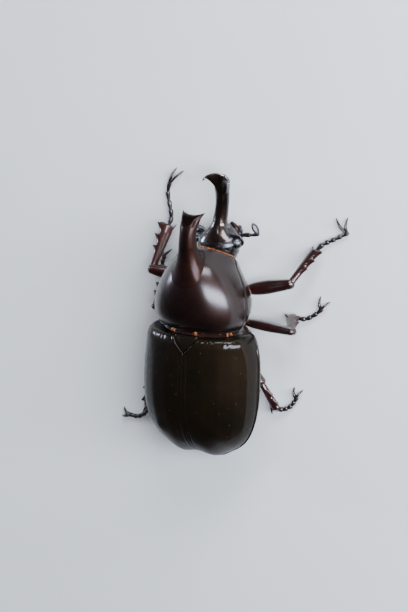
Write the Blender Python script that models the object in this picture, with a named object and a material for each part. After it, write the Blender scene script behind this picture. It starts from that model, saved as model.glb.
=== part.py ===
"""Sumatran rhinoceros beetle (Xylotrupes sumatrensis), male, as a still life-size model.

The beetle stands on a flat floor with its head towards -Y and its back up.
Lengths are in millimetres from a body origin on the midline, where the back
margin of the pronotum meets the wing cases, at the level where the wing cases
are widest. MM turns them into metres, and one empty carries every piece so
that the finished model stands on z = 0, centred on the axis.
"""

import math

import bpy
import numpy as np

MM = 0.001
GAP = 0.3
FLOOR = -9.5

# Wing cases: half-width, where it lies, reach of the outline and its roundness.
ELYTRA_HALF_WIDTH = 12.8
ELYTRA_WIDEST_Y = 11.0
ELYTRA_REACH = 15.2
ELYTRA_ROUNDNESS = 2.8
ELYTRA_BASE_Y = 0.9
ELYTRA_SHOULDER_Y = 0.4
ELYTRA_LOBE = 0.85
ELYTRA_TOP_Y = 5.0
ELYTRA_APEX_Z = -2.0
ELYTRA_HEIGHT = 10.6
ELYTRA_THICKNESS = 0.8
ELYTRA_FOLD_ANGLE = math.radians(114)

# Prothorax, as stations from the back margin to the front margin:
# y of the ring, half-width, top, bottom, level of the widest line, lean.
PROTHORAX = (
    (-0.20, 8.1, 7.0, -2.0, 1.7, 0.00),
    (-0.55, 8.7, 7.6, -3.2, 1.6, 0.00),
    (-2.4, 9.7, 9.0, -5.6, 1.2, 0.00),
    (-5.0, 9.95, 9.7, -7.2, 0.7, 0.04),
    (-7.4, 9.45, 9.8, -7.3, 0.3, 0.12),
    (-9.6, 8.5, 9.3, -7.2, -0.1, 0.22),
    (-11.6, 7.4, 7.9, -7.1, -0.4, 0.33),
    (-13.2, 6.5, 5.8, -6.9, -0.6, 0.43),
    (-14.5, 6.0, 4.2, -6.5, -0.8, 0.50),
    (-15.1, 5.6, 2.9, -6.0, -0.9, 0.54),
)

# Head, as stations from the neck to the clypeus, measured like the prothorax.
HEAD = (
    (-12.6, 2.6, -2.6, -6.6, -4.6, 0.0),
    (-13.4, 3.7, -1.7, -7.3, -4.6, 0.0),
    (-15.0, 4.35, -1.2, -7.7, -4.5, 0.0),
    (-16.6, 4.6, -1.3, -7.8, -4.4, 0.0),
    (-17.8, 4.2, -1.9, -7.6, -4.6, 0.0),
    (-18.9, 3.3, -3.0, -7.1, -5.0, 0.0),
    (-19.7, 2.3, -4.3, -6.6, -5.3, 0.0),
)

# Horns, as points on the centre line with half-width and half-depth.
PRONOTAL_HORN = (
    (0.0, -8.6, 5.2, 3.6, 3.2),
    (0.0, -11.4, 6.2, 3.1, 3.1),
    (0.0, -14.0, 7.2, 2.5, 2.4),
    (0.0, -17.0, 8.0, 2.05, 1.8),
    (0.0, -20.0, 8.25, 1.8, 1.5),
    (0.0, -22.1, 8.0, 1.8, 1.35),
    (0.0, -23.3, 7.5, 2.0, 1.0),
)
PRONOTAL_TINE = (
    (1.0, -23.0, 7.5, 1.05, 0.95),
    (1.9, -23.9, 6.9, 0.75, 0.7),
    (2.65, -24.4, 6.1, 0.25, 0.25),
)
HEAD_HORN = (
    (0.0, -15.8, -3.6, 2.0, 1.8),
    (0.0, -17.9, -3.65, 2.0, 1.75),
    (-0.15, -19.6, -3.9, 1.6, 1.45),
    (-0.45, -22.2, -4.1, 1.47, 1.2),
    (-0.95, -25.4, -3.75, 1.37, 1.15),
    (-1.4, -28.4, -2.5, 1.47, 1.15),
    (-1.6, -30.2, -1.4, 1.82, 1.15),
)
HEAD_TINE = (
    (1.0, -29.8, -1.4, 1.0, 0.95),
    (2.0, -30.1, -0.5, 0.75, 0.7),
    (2.85, -29.6, 0.6, 0.25, 0.25),
)

EYE_RADIUS = 1.25
EYE_CENTRE = (4.25, -16.9, -4.1)

# Mouthparts and feeler of the left side, measured like the horns.
MANDIBLE = (
    (1.7, -16.6, -6.9, 1.0, 0.75),
    (2.1, -18.1, -7.15, 0.95, 0.7),
    (2.0, -19.3, -7.0, 0.75, 0.55),
    (1.4, -20.1, -6.8, 0.4, 0.3),
)
PALP = (
    (1.6, -15.6, -7.0, 0.5, 0.5),
    (2.6, -16.8, -8.1, 0.42, 0.42),
    (2.9, -17.9, -8.3, 0.5, 0.5),
    (2.7, -18.9, -8.1, 0.4, 0.4),
)
FEELER = (
    (3.0, -17.6, -6.0, 0.7, 0.7),
    (4.9, -18.3, -5.8, 0.65, 0.6),
    (6.4, -18.6, -5.3, 0.4, 0.4),
    (8.2, -19.0, -4.8, 0.4, 0.4),
    (8.9, -19.3, -4.6, 0.6, 0.45),
    (8.8, -20.3, -4.4, 0.75, 0.55),
    (8.4, -21.4, -4.1, 0.4, 0.35),
)

# Legs: hip inside the body, knee and ankle, then the points of the foot.
LEGS = {
    "front_right": {
        "hip": (-2.2, -7.4, -6.8),
        "out": (-6.2, -7.1, -6.4),
        "knee": (-17.3, -10.5, -3.4),
        "ankle": (-20.1, -16.7, -8.0),
        "foot": ((-21.4, -18.1), (-22.6, -18.9), (-23.9, -19.6), (-25.3, -20.4), (-26.8, -21.3)),
        "claws": ((-24.0, -24.0), (-26.6, -24.4)),
        "femur": (1.35, 1.2), "tibia": 0.95, "teeth": 3,
    },
    "front_left": {
        "hip": (2.2, -7.4, -6.8),
        "out": (6.2, -7.1, -6.4),
        "knee": (14.7, -8.8, -3.2),
        "ankle": (14.2, -16.8, -7.9),
        "foot": ((13.9, -18.4), (14.1, -20.0), (14.6, -21.7), (15.0, -23.6), (14.7, -25.6)),
        "claws": ((11.7, -28.6), (13.4, -29.0)),
        "femur": (1.35, 1.2), "tibia": 0.95, "teeth": 3,
    },
    "middle_right": {
        "hip": (-2.4, 1.0, -6.8),
        "out": (-6.1, -0.3, -6.5),
        "knee": (-18.7, -1.0, -2.6),
        "ankle": (-15.4, -2.4, -8.1),
        "foot": ((-16.6, -2.3), (-17.9, -2.3), (-19.2, -2.8), (-20.5, -3.7), (-21.7, -4.8)),
        "claws": ((-21.2, -7.4), (-23.4, -6.6)),
        "femur": (0.95, 1.3), "tibia": 0.9, "teeth": 2,
    },
    "middle_left": {
        "hip": (2.4, 1.0, -6.8),
        "out": (6.1, -0.3, -6.5),
        "knee": (13.9, -1.2, -3.4),
        "ankle": (14.5, -5.2, -8.1),
        "foot": ((15.1, -6.3), (15.5, -7.3), (15.7, -8.3), (15.7, -9.3), (15.4, -10.2)),
        "claws": ((13.9, -11.9), (15.8, -12.4)),
        "femur": (0.95, 1.3), "tibia": 0.9, "teeth": 2,
    },
    "hind_right": {
        "hip": (-2.2, 7.2, -7.0),
        "out": (-5.0, 8.8, -7.1),
        "knee": (-9.5, 11.6, -6.8),
        "ankle": (-12.6, 17.0, -8.1),
        "foot": ((-13.6, 17.2), (-14.6, 16.9), (-15.5, 16.3), (-16.2, 15.4), (-16.8, 14.4)),
        "claws": ((-16.0, 12.3), (-18.0, 12.6)),
        "femur": (1.25, 1.3), "tibia": 0.85, "teeth": 2,
    },
    "hind_left": {
        "hip": (2.2, 7.2, -7.0),
        "out": (5.6, 9.0, -7.0),
        "knee": (14.8, 12.4, -4.0),
        "ankle": (17.0, 21.5, -7.9),
        "foot": ((18.0, 22.7), (18.9, 23.5), (19.9, 24.1), (20.9, 24.3), (21.9, 24.2)),
        "claws": ((23.9, 22.9), (24.3, 24.8)),
        "femur": (1.25, 1.4), "tibia": 0.9, "teeth": 2,
    },
}

MATERIALS = {
    "pronotum_cuticle": ((0.020, 0.011, 0.008), 0.22),
    "elytra_cuticle": ((0.014, 0.009, 0.007), 0.28),
    "horn_cuticle": ((0.022, 0.009, 0.006), 0.20),
    "underside_cuticle": ((0.050, 0.020, 0.012), 0.35),
    "leg_cuticle": ((0.045, 0.012, 0.008), 0.25),
    "tarsus_cuticle": ((0.020, 0.008, 0.006), 0.30),
    "antenna_cuticle": ((0.060, 0.020, 0.010), 0.40),
    "eye_cornea": ((0.010, 0.008, 0.007), 0.12),
}


def spline(points, at):
    """Rows read from a smooth curve that passes through the given rows."""
    rows = np.asarray(points, float)
    padded = np.vstack([2 * rows[0] - rows[1], rows, 2 * rows[-1] - rows[-2]])
    at = np.clip(np.asarray(at, float), 0, len(rows) - 1 - 1e-9)
    start = at.astype(int)
    f = (at - start)[:, None]
    a, b, c, d = (padded[start + k] for k in range(4))
    return b + 0.5 * f * (c - a + f * (2 * a - 5 * b + 4 * c - d + f * (3 * (b - c) + d - a)))


def unit(vectors):
    """The vectors at length one."""
    vectors = np.asarray(vectors, float)
    return vectors / np.linalg.norm(vectors, axis=-1, keepdims=True)


def section(count, power=2.0):
    """A closed oval of unit half-axes, squarer as power grows, anticlockwise from +X."""
    turn = np.arange(count) * 2 * math.pi / count
    c, s = np.cos(turn), np.sin(turn)
    return np.stack([np.sign(c) * np.abs(c) ** (2 / power), np.sign(s) * np.abs(s) ** (2 / power)], axis=1)


def sweep(path, radii, count, up=(0, 0, 1), power=2.0):
    """Rings of ovals set square to a path, wide across it and deep towards up."""
    path = np.asarray(path, float)
    radii = np.asarray(radii, float)
    tangent = unit(np.gradient(path, axis=0))
    side = unit(np.cross(tangent, np.asarray(up, float)))
    over = np.cross(side, tangent)
    oval = section(count, power)
    return (
        path[:, None]
        + side[:, None] * (oval[None, :, :1] * radii[:, None, :1])
        + over[:, None] * (oval[None, :, 1:] * radii[:, None, 1:])
    )


def rounded_ends(path, radii, start=True, end=True, steps=3):
    """A path and its radii with rounded ends added beyond its first and last points."""
    path = np.asarray(path, float)
    radii = np.asarray(radii, float)
    turn = np.linspace(0, math.pi / 2, steps + 1)[1:]
    shrink = np.maximum(np.cos(turn), 0.12)[:, None]
    reach = np.sin(turn)[:, None]
    if end:
        way = unit(path[-1] - path[-2])
        size = radii[-1].min()
        path = np.vstack([path, path[-1] + way * reach * size])
        radii = np.vstack([radii, radii[-1] * shrink])
    if start:
        way = unit(path[0] - path[1])
        size = radii[0].min()
        path = np.vstack([(path[0] + way * reach * size)[::-1], path])
        radii = np.vstack([(radii[0] * shrink)[::-1], radii])
    return path, radii


def skin(rings):
    """Points and triangles of a closed solid from a stack of closed rings, capped by a fan at each end."""
    rows, count = rings.shape[:2]
    points = np.vstack([rings.reshape(-1, 3), rings[0].mean(0), rings[-1].mean(0)])
    i, j = np.meshgrid(np.arange(rows - 1), np.arange(count), indexing="ij")
    a, b = i * count + j, i * count + (j + 1) % count
    c, d = b + count, a + count
    sides = np.concatenate([np.stack(t, -1).reshape(-1, 3) for t in ((a, b, c), (a, c, d))])
    k = np.arange(count)
    first = np.stack([np.full(count, rows * count), (k + 1) % count, k], -1)
    end = (rows - 1) * count
    last = np.stack([np.full(count, rows * count + 1), end + k, end + (k + 1) % count], -1)
    return points, np.concatenate([sides, first, last])


def plate(outer, inner):
    """Points and triangles of a closed plate between two open grids of the same size.

    The last row of each grid may be a single point repeated.
    """
    rows, cols = outer.shape[:2]
    points = np.vstack([outer.reshape(-1, 3), inner.reshape(-1, 3)])
    n = rows * cols
    i, j = np.meshgrid(np.arange(rows - 1), np.arange(cols - 1), indexing="ij")
    a = (i * cols + j).ravel()
    top = np.concatenate([np.stack([a, a + 1, a + cols + 1], 1), np.stack([a, a + cols + 1, a + cols], 1)])
    under = top[:, ::-1] + n
    k = np.arange(cols - 1)
    r = np.arange(rows - 1) * cols
    edges = [
        (k + 1, k),
        ((rows - 1) * cols + k, (rows - 1) * cols + k + 1),
        (r, r + cols),
        (r + 2 * cols - 1, r + cols - 1),
    ]
    walls = [np.concatenate([np.stack([p, q, q + n], 1), np.stack([p, q + n, p + n], 1)]) for p, q in edges]
    return merged(points, np.concatenate([top, under, *walls]))


def merged(points, faces):
    """The same solid with repeated points made one and collapsed triangles dropped."""
    _, first, index = np.unique(np.round(points, 5), axis=0, return_index=True, return_inverse=True)
    faces = index.reshape(-1)[faces]
    whole = (faces[:, 0] != faces[:, 1]) & (faces[:, 1] != faces[:, 2]) & (faces[:, 0] != faces[:, 2])
    return points[first], faces[whole]


def mirrored(points, faces):
    """The same solid on the other side of the midline."""
    return points * [-1, 1, 1], faces[:, ::-1]


def add(name, solid, material=None):
    """A mesh object from points in millimetres and triangles, turned to face outwards."""
    points, faces = solid
    corners = points[faces]
    if np.einsum("ij,ij->", np.cross(corners[:, 0], corners[:, 1]), corners[:, 2]) < 0:
        faces = faces[:, ::-1]
    mesh = bpy.data.meshes.new(name)
    mesh.from_pydata((points * MM).tolist(), [], faces.tolist())
    mesh.shade_smooth()
    mesh.set_sharp_from_angle(angle=math.radians(40))
    obj = bpy.data.objects.new(name, mesh)
    bpy.context.scene.collection.objects.link(obj)
    if material:
        mesh.materials.append(bpy.data.materials[material])
    return obj


def largest_piece(mesh):
    """Keeps the closed surface with the most faces and drops any crumb that a cut left."""
    faces = [tuple(p.vertices) for p in mesh.polygons]
    root = list(range(len(mesh.vertices)))

    def find(v):
        while root[v] != v:
            root[v] = root[root[v]]
            v = root[v]
        return v

    for face in faces:
        for v in face[1:]:
            root[find(v)] = find(face[0])
    owner = [find(face[0]) for face in faces]
    best = max(set(owner), key=owner.count)
    kept = [face for face, of in zip(faces, owner) if of == best]
    used = sorted({v for face in kept for v in face})
    place = {v: k for k, v in enumerate(used)}
    points = [tuple(mesh.vertices[v].co) for v in used]
    return points, [tuple(place[v] for v in face) for face in kept]


def combine(obj, solids, operation, solver="EXACT"):
    """Joins solids to an object, or cuts them from it, and leaves one closed body."""
    helpers = bpy.data.collections.new("helpers")
    bpy.context.scene.collection.children.link(helpers)
    for solid in solids:
        helper = add("helper", solid)
        bpy.context.scene.collection.objects.unlink(helper)
        helpers.objects.link(helper)
    modifier = obj.modifiers.new("Boolean", "BOOLEAN")
    modifier.operation = operation
    modifier.solver = solver
    modifier.operand_type = "COLLECTION"
    modifier.collection = helpers
    bpy.context.view_layer.update()
    evaluated = obj.evaluated_get(bpy.context.evaluated_depsgraph_get())
    points, faces = largest_piece(evaluated.to_mesh())
    evaluated.to_mesh_clear()
    obj.modifiers.remove(modifier)
    old = obj.data
    mesh = bpy.data.meshes.new(obj.name)
    mesh.from_pydata(points, [], faces)
    mesh.shade_smooth()
    mesh.set_sharp_from_angle(angle=math.radians(40))
    for material in old.materials:
        mesh.materials.append(material)
    obj.data = mesh
    for helper in list(helpers.objects):
        bpy.data.objects.remove(helper, do_unlink=True)
    bpy.data.collections.remove(helpers)
    return obj


def elytra_point(y, angle, inset):
    """The wing-case surface at a station y and an angle from the top, drawn in by inset."""
    reach = ELYTRA_REACH - inset
    across = np.clip(np.abs(y - ELYTRA_WIDEST_Y) / reach, 0, 1)
    half = (ELYTRA_HALF_WIDTH - inset) * (1 - across**ELYTRA_ROUNDNESS) ** (1 / ELYTRA_ROUNDNESS)
    length = ELYTRA_WIDEST_Y + reach - ELYTRA_TOP_Y
    along = np.clip((y - ELYTRA_TOP_Y) / length, 0, 1)
    fall = (1 - along**3) ** 0.4
    top = ELYTRA_APEX_Z + (ELYTRA_HEIGHT - inset) * fall - 0.045 * np.clip(ELYTRA_TOP_Y - y, 0, None) ** 2
    level = ELYTRA_APEX_Z * along**6
    c, s = np.cos(angle), np.sin(angle)
    x = np.clip(half - GAP / 2, 0, None) * np.abs(s) ** 0.93 + GAP / 2
    z = level + np.where(c > 0, (top - level) * np.abs(c), -(6.2 - inset) * fall * np.abs(c))
    lobe = ELYTRA_LOBE * np.exp(-(((x - 3.8) / 2.2) ** 2)) * along**6
    return np.stack(np.broadcast_arrays(x, y + lobe, z), axis=-1)


def elytra_grid(inset, rows, cols, base_drop=0.0):
    """Half of the wing-case dome as a grid, from its curved base to the point where it closes."""
    end = ELYTRA_WIDEST_Y + ELYTRA_REACH - inset
    angle = np.linspace(0, ELYTRA_FOLD_ANGLE, cols)[None, :]
    base = ELYTRA_BASE_Y + (ELYTRA_SHOULDER_Y - ELYTRA_BASE_Y) * np.sin(angle) ** 3
    t = np.concatenate([[0, 0.013, 0.04], np.sin(np.linspace(0.09, math.pi / 2, rows - 3))])[:, None]
    drop = base_drop * np.interp(t, [0, 0.013, 0.04], [1, 0.25, 0])
    return elytra_point(base + (end - base) * t, angle, inset + drop)


def build_elytra():
    """Two shells that meet along the suture, notched for the scutellum."""
    outer = elytra_grid(0.0, 15, 12, 0.3)
    inner = elytra_grid(ELYTRA_THICKNESS, 15, 12)
    left = plate(outer, inner)
    notch = scutellum_solid(GAP, 3.0, 12.0)
    for name, solid in (("elytron_left", left), ("elytron_right", mirrored(*left))):
        obj = add(name, solid, "elytra_cuticle")
        combine(obj, [notch], "DIFFERENCE")


def scutellum_solid(grow, low, high):
    """An upright prism on the scutellum's heart-shaped outline, between two levels."""
    half, front, back = 2.6, 0.7, 4.0
    t = np.linspace(0, 1, 6)
    right = np.stack([half * (1 - t**1.5), front + (back - front) * t], 1)
    ring = np.vstack([right, (right * [-1, 1])[-2::-1]])
    ahead, behind = np.roll(ring, -1, axis=0) - ring, ring - np.roll(ring, 1, axis=0)
    way = unit(unit(ahead) + unit(behind))
    out = np.stack([way[:, 1], -way[:, 0]], 1) * 1.15
    out *= np.sign(np.einsum("ij,ij->i", out, ring - [0, 1.8]))[:, None]
    ring = ring + grow * out
    low_ring = np.column_stack([ring, np.full(len(ring), low)])
    high_ring = np.column_stack([ring, np.full(len(ring), high)])
    return skin(np.stack([low_ring, high_ring]))


def build_scutellum():
    """The small shield between the wing-case bases, with a gently domed top."""
    flat = scutellum_solid(0.0, 5.9, 7.6)
    points, faces = flat
    rise = elytra_point(points[:, 1], np.abs(points[:, 0]) / ELYTRA_HALF_WIDTH, 0.0)[:, 2]
    top = points[:, 2] > 7
    points[top, 2] = rise[top] - 0.05
    points[~top, 2] = rise[~top] - 1.0
    add("scutellum", (points, faces), "pronotum_cuticle")


def belly_level(y):
    """Level of the underside of the hind body along the midline."""
    t = np.clip((y - 15.0) / 10.1, 0, 1)
    return -7.7 + 5.2 * t**2.2


def hind_body_rings(first, last, rows, ease):
    """Closed rings of the body under the wing cases, between two stations."""
    inset = ELYTRA_THICKNESS + GAP
    end = ELYTRA_WIDEST_Y + ELYTRA_REACH - inset
    t = np.linspace(0, 1, rows)
    y = first + (min(last, end - 0.02) - first) * (np.sin(t * math.pi / 2) if ease else t)
    sunk = inset + 0.9 * np.clip(1 - (y - 0.1) / 1.8, 0, 1)
    upper = elytra_point(y[:, None], np.linspace(0.0, ELYTRA_FOLD_ANGLE, 9)[None, :], sunk[:, None])
    upper[:, 0, 0] = 0
    edge = upper[:, -1]
    bend = np.linspace(0, math.pi / 2, 7)[1:]
    x = edge[:, None, 0] * np.cos(bend) ** 0.7
    belly = np.minimum(belly_level(y), edge[:, 2] - 0.05)[:, None]
    z = edge[:, None, 2] + (belly - edge[:, None, 2]) * np.sin(bend)
    x[:, -1] = 0
    lower = np.stack([x, np.broadcast_to(y[:, None], x.shape), z], -1)
    half = np.concatenate([upper, lower], axis=1)
    other = half[:, 1:-1][:, ::-1] * [-1, 1, 1]
    return np.concatenate([half, other], axis=1)


def loft_rings(stations, rows, count, grow=0.0, power=2.2, under=2.0, easing=0.0):
    """Rings of a body part read from its stations, each ring leaning forward by its lean."""
    at = np.linspace(0, len(stations) - 1, rows)
    power = power + easing * np.cos(np.linspace(0, math.pi, rows))[:, None]
    y, half, top, bottom, level, lean = spline(stations, at).T[:, :, None]
    turn = (np.arange(count) * 2 * math.pi / count)[None, :]
    c, s = np.cos(turn), np.sin(turn)
    x = (half + grow) * np.sign(s) * np.abs(s) ** (2 / power)
    above = (top + grow - level) * np.abs(c) ** (2 / power)
    below = (level - bottom + grow) * np.abs(c) ** (2 / under)
    rise = np.where(c > 0, above, -below)
    z = level + rise
    return np.stack([x, y - lean * z, z], axis=-1)


def grown(rings, by):
    """Rings with their first and last ring moved outwards along the stack, for a cutter."""
    rings = rings.copy()
    ahead = unit(rings[-1].mean(0) - rings[-2].mean(0))
    behind = unit(rings[0].mean(0) - rings[1].mean(0))
    rings[-1] += ahead * by
    rings[0] += behind * by
    return rings


def horn_solid(points, count=12, rows=14):
    """The shaft of a horn, from its root to a rounded tip."""
    at = np.linspace(0, len(points) - 1, rows)
    row = spline(points, at)
    path, radii = rounded_ends(row[:, :3], row[:, 3:], start=False, steps=2)
    return skin(sweep(path, radii, count))


def tine_solids(points, middle_x):
    """The two tines of a forked tip, alike on both sides of its middle."""
    solids = []
    for side in (1, -1):
        row = spline(points, np.linspace(0, len(points) - 1, 7))
        row[:, 0] *= side
        row[:, 0] += middle_x
        path, radii = rounded_ends(row[:, :3], row[:, 3:], start=True, steps=2)
        solids.append(skin(sweep(path, radii, 8, up=(0, 1, 0.3))))
    return solids


def prothorax_skin(grow=0.0):
    """The front body ring, without the horn on its back."""
    rings = loft_rings(PROTHORAX, 13, 24, grow, power=2.1, easing=0.2)
    return skin(grown(rings, grow)) if grow else skin(rings)


def head_skin(grow=0.0):
    """The head capsule, without eyes or horn."""
    rings = loft_rings(HEAD, 11, 18, grow, power=2.1)
    return skin(grown(rings, grow)) if grow else skin(rings)


def ball(centre, radius, rows=7, count=12):
    """A ball whose poles lie on the X axis."""
    turn = np.linspace(0, math.pi, rows + 2)[1:-1]
    ring = section(count)
    rings = [
        np.array(centre) + radius * np.column_stack([np.full(count, math.cos(t)), ring * math.sin(t)])
        for t in turn
    ]
    points, faces = skin(np.array(rings))
    points[-2:] = np.array(centre) + [[radius, 0, 0], [-radius, 0, 0]]
    return points, faces


def build_head():
    """Head capsule, eyes and forked horn, then the jaws, palps and feelers of both sides."""
    eye = np.array(EYE_CENTRE)
    eyes = {"left": eye, "right": eye * [-1, 1, 1]}
    head = add("head", head_skin(), "horn_cuticle")
    combine(head, [ball(c, EYE_RADIUS + GAP) for c in eyes.values()], "DIFFERENCE")
    for side, centre in eyes.items():
        add(f"eye_{side}", ball(centre, EYE_RADIUS), "eye_cornea")
    horn = add("head_horn", horn_solid(HEAD_HORN), "horn_cuticle")
    combine(horn, tine_solids(HEAD_TINE, HEAD_HORN[-1][0]), "UNION")
    combine(horn, [head_skin(GAP)], "DIFFERENCE")
    for side, sign in (("left", 1), ("right", -1)):
        for name, points, look, count in (
            ("mandible", MANDIBLE, "horn_cuticle", 8),
            ("palp", PALP, "antenna_cuticle", 6),
            ("antenna", FEELER, "antenna_cuticle", 8),
        ):
            row = spline(points, np.linspace(0, len(points) - 1, 3 * len(points) - 2))
            row[:, 0] *= sign
            path, radii = rounded_ends(row[:, :3], row[:, 3:], start=False, steps=2)
            piece = add(f"{name}_{side}", skin(sweep(path, radii, count)), look)
            combine(piece, [head_skin(GAP)], "DIFFERENCE")


def coxa_solid(leg, grow=0.0):
    """The hip and its short ring, from inside the body to the end of the thigh."""
    hip, out, knee = (np.array(leg[k], float) for k in ("hip", "out", "knee"))
    way = unit(knee - out)
    bend = out - 1.3 * way
    points = np.vstack([hip, (hip + bend) / 2, bend, out - GAP * way])
    wide, deep = leg["femur"]
    radii = np.array([[1.5, 1.45], [1.45, 1.4], [wide * 0.95, deep * 0.95], [wide * 0.8, deep * 0.8]])
    at = np.linspace(0, 3, 6)
    path, thick = rounded_ends(spline(points, at), spline(radii, at) + grow, end=False)
    rings = sweep(path, thick, 10)
    return skin(grown(rings, grow) if grow else rings)


def femur_solid(leg, grow=0.0):
    """The thigh, thickest past its middle and rounded at the knee."""
    out, knee = (np.array(leg[k], float) for k in ("out", "knee"))
    t = np.linspace(0, 1, 7)
    path = out + (knee - out) * t[:, None]
    swell = np.interp(t, [0, 0.3, 0.6, 0.85, 1], [0.8, 1.06, 1.1, 0.95, 0.8])[:, None]
    path, radii = rounded_ends(path, swell * leg["femur"] + grow, start=False)
    rings = sweep(path, radii, 10)
    return skin(grown(rings, grow) if grow else rings)


def shank_frame(leg):
    """Unit vectors along the shank, to its outer edge and square to both."""
    out, knee, ankle = (np.array(leg[k], float) for k in ("out", "knee", "ankle"))
    way = unit(ankle - knee)
    outer = -unit(np.cross(np.cross(way, out - knee), way))
    return way, outer, np.cross(outer, way)


def shank_solid(leg, grow=0.0):
    """The shank without teeth, widening to its tip."""
    knee, ankle = (np.array(leg[k], float) for k in ("knee", "ankle"))
    size = leg["tibia"]
    t = np.linspace(0, 1, 8)
    wide = size * np.interp(t, [0, 0.15, 0.5, 0.85, 1], [0.78, 0.8, 1.0, 1.3, 1.32])
    deep = size * np.interp(t, [0, 0.15, 0.5, 0.85, 1], [0.72, 0.72, 0.75, 0.85, 0.85])
    path = knee + (ankle - knee) * t[:, None]
    rings = sweep(path, np.stack([wide, deep], 1) + grow, 8, up=shank_frame(leg)[2])
    return skin(grown(rings, grow) if grow else rings)


def tibia_solids(leg):
    """The shank, and the teeth along its outer edge and the spurs at its tip that are joined to it."""
    knee, ankle = (np.array(leg[k], float) for k in ("knee", "ankle"))
    way, outer, up = shank_frame(leg)
    length = np.linalg.norm(ankle - knee)
    size = leg["tibia"]
    spikes = []

    def spike(root, tip, radius):
        tip = np.array([tip[0], tip[1], max(tip[2], FLOOR + 0.4)])
        path = root + (tip - root) * np.linspace(0, 1, 4)[:, None]
        radii = radius * np.array([1.0, 0.8, 0.5, 0.18])
        spikes.append(skin(sweep(path, np.stack([radii, radii], 1), 6, up=up)))

    for k in range(leg["teeth"]):
        place = 0.9 - k * 0.25 if leg["teeth"] == 3 else 0.72 - k * 0.33
        centre = knee + way * length * place
        reach = size * (2.3 - 0.25 * k if leg["teeth"] == 3 else 1.75)
        spike(centre, centre + outer * reach + way * 0.75, 0.62 if leg["teeth"] == 3 else 0.5)
    inner = -outer
    ahead = unit(np.array([*leg["foot"][0], FLOOR + 0.95]) - ankle)
    spurs = ((0.55, 1.0), (-0.55, 0.85), (2.6, 0.8)) if leg["teeth"] == 2 else ((0.0, 1.15),)
    for turn, reach in spurs:
        aside = inner * math.cos(turn) + up * math.sin(turn)
        if aside @ ahead > 0.35:
            continue
        root = ankle - way * 0.5 + aside * size * 0.8
        spike(root, root + way * (reach + 0.6) + aside * 0.8, 0.35)
    return shank_solid(leg), spikes


def tarsus_solids(leg):
    """The foot of five bell-shaped joints, and its two claws; the undersides are flat at floor level."""
    knee, ankle = (np.array(leg[k], float) for k in ("knee", "ankle"))
    way = unit(ankle - knee)
    joints = [np.array([x, y, FLOOR + z]) for (x, y), z in zip(leg["foot"], (0.95, 0.75, 0.62, 0.58, 0.62))]
    centre = spline([ankle - way * 0.1, *joints], np.arange(0, 21) / 4)
    bell = [0.4, 0.46, 0.62, 0.4]
    size = [0.4] + bell * 4 + [0.36, 0.4, 0.47, 0.42]
    path, radii = rounded_ends(centre, np.stack([size, size], 1), start=False, steps=2)
    shaft = skin(sweep(path, radii, 6))
    last = joints[-1]
    claws = []
    for x, y in leg["claws"]:
        tip = np.array([x, y, FLOOR + 0.12])
        middle = (last + tip) / 2 + [0, 0, 0.75]
        line = spline([last, middle, tip], np.linspace(0, 2, 6))
        thick = np.interp(np.linspace(0, 1, 6), [0, 0.3, 1], [0.4, 0.36, 0.12])
        claws.append(skin(sweep(line, np.stack([thick, thick], 1), 6)))
    for points, _ in (shaft, *claws):
        points[:, 2] = np.maximum(points[:, 2], FLOOR)
    return shaft, claws


def build_legs():
    """Six legs: hip, thigh, toothed shank and clawed foot."""
    for name, leg in LEGS.items():
        add(f"coxa_{name}", coxa_solid(leg), "leg_cuticle")
        add(f"femur_{name}", femur_solid(leg), "leg_cuticle")
        shank, spikes = tibia_solids(leg)
        tibia = add(f"tibia_{name}", shank, "leg_cuticle")
        combine(tibia, spikes, "UNION")
        combine(tibia, [femur_solid(leg, GAP)], "DIFFERENCE", solver="MANIFOLD")
        shaft, claws = tarsus_solids(leg)
        tarsus = add(f"tarsus_{name}", shaft, "tarsus_cuticle")
        combine(tarsus, claws, "UNION")
        combine(tarsus, [shank_solid(leg, GAP)], "DIFFERENCE")


def thigh_cuts(*rows):
    """Cutters that clear the hips and thighs of the given pairs of legs."""
    legs = [LEGS[f"{row}_{side}"] for row in rows for side in ("left", "right")]
    return [shape(leg, GAP) for leg in legs for shape in (coxa_solid, femur_solid)]


def build_trunk():
    """Pronotum with its forked horn, and the body under the wing cases in three rings."""
    pronotum = add("pronotum", prothorax_skin(), "pronotum_cuticle")
    combine(pronotum, [head_skin(GAP), *thigh_cuts("front", "middle")], "DIFFERENCE")
    horn = add("pronotum_horn", horn_solid(PRONOTAL_HORN), "horn_cuticle")
    combine(horn, tine_solids(PRONOTAL_TINE, 0.0), "UNION")
    combine(horn, [prothorax_skin(GAP)], "DIFFERENCE")
    chest = add("pterothorax", skin(hind_body_rings(0.1, 9.2, 6, False)), "underside_cuticle")
    combine(chest, [*thigh_cuts("middle", "hind"), scutellum_solid(GAP, 5.8, 12.0)], "DIFFERENCE")
    abdomen = add("abdomen", skin(hind_body_rings(9.5, 23.6, 9, False)), "underside_cuticle")
    combine(abdomen, thigh_cuts("hind"), "DIFFERENCE")
    add("pygidium", skin(hind_body_rings(23.9, 26.0, 5, True)), "underside_cuticle")


def make_materials():
    """One glossy cuticle for each kind of piece."""
    for name, (colour, roughness) in MATERIALS.items():
        material = bpy.data.materials.new(name)
        material.use_nodes = True
        shader = material.node_tree.nodes["Principled BSDF"]
        shader.inputs["Base Color"].default_value = (*colour, 1)
        shader.inputs["Roughness"].default_value = roughness
        shader.inputs["Metallic"].default_value = 0.0


def stand_on_floor():
    """Carries every piece on one empty, so that the model stands on z = 0, centred on the axis."""
    pieces = list(bpy.context.scene.collection.objects)
    corners = np.concatenate([np.array([v.co for v in p.data.vertices]) for p in pieces])
    low, high = corners.min(0), corners.max(0)
    carrier = bpy.data.objects.new("beetle", None)
    bpy.context.scene.collection.objects.link(carrier)
    carrier.location = (-(low[0] + high[0]) / 2, -(low[1] + high[1]) / 2, -low[2])
    for piece in pieces:
        piece.parent = carrier


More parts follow.
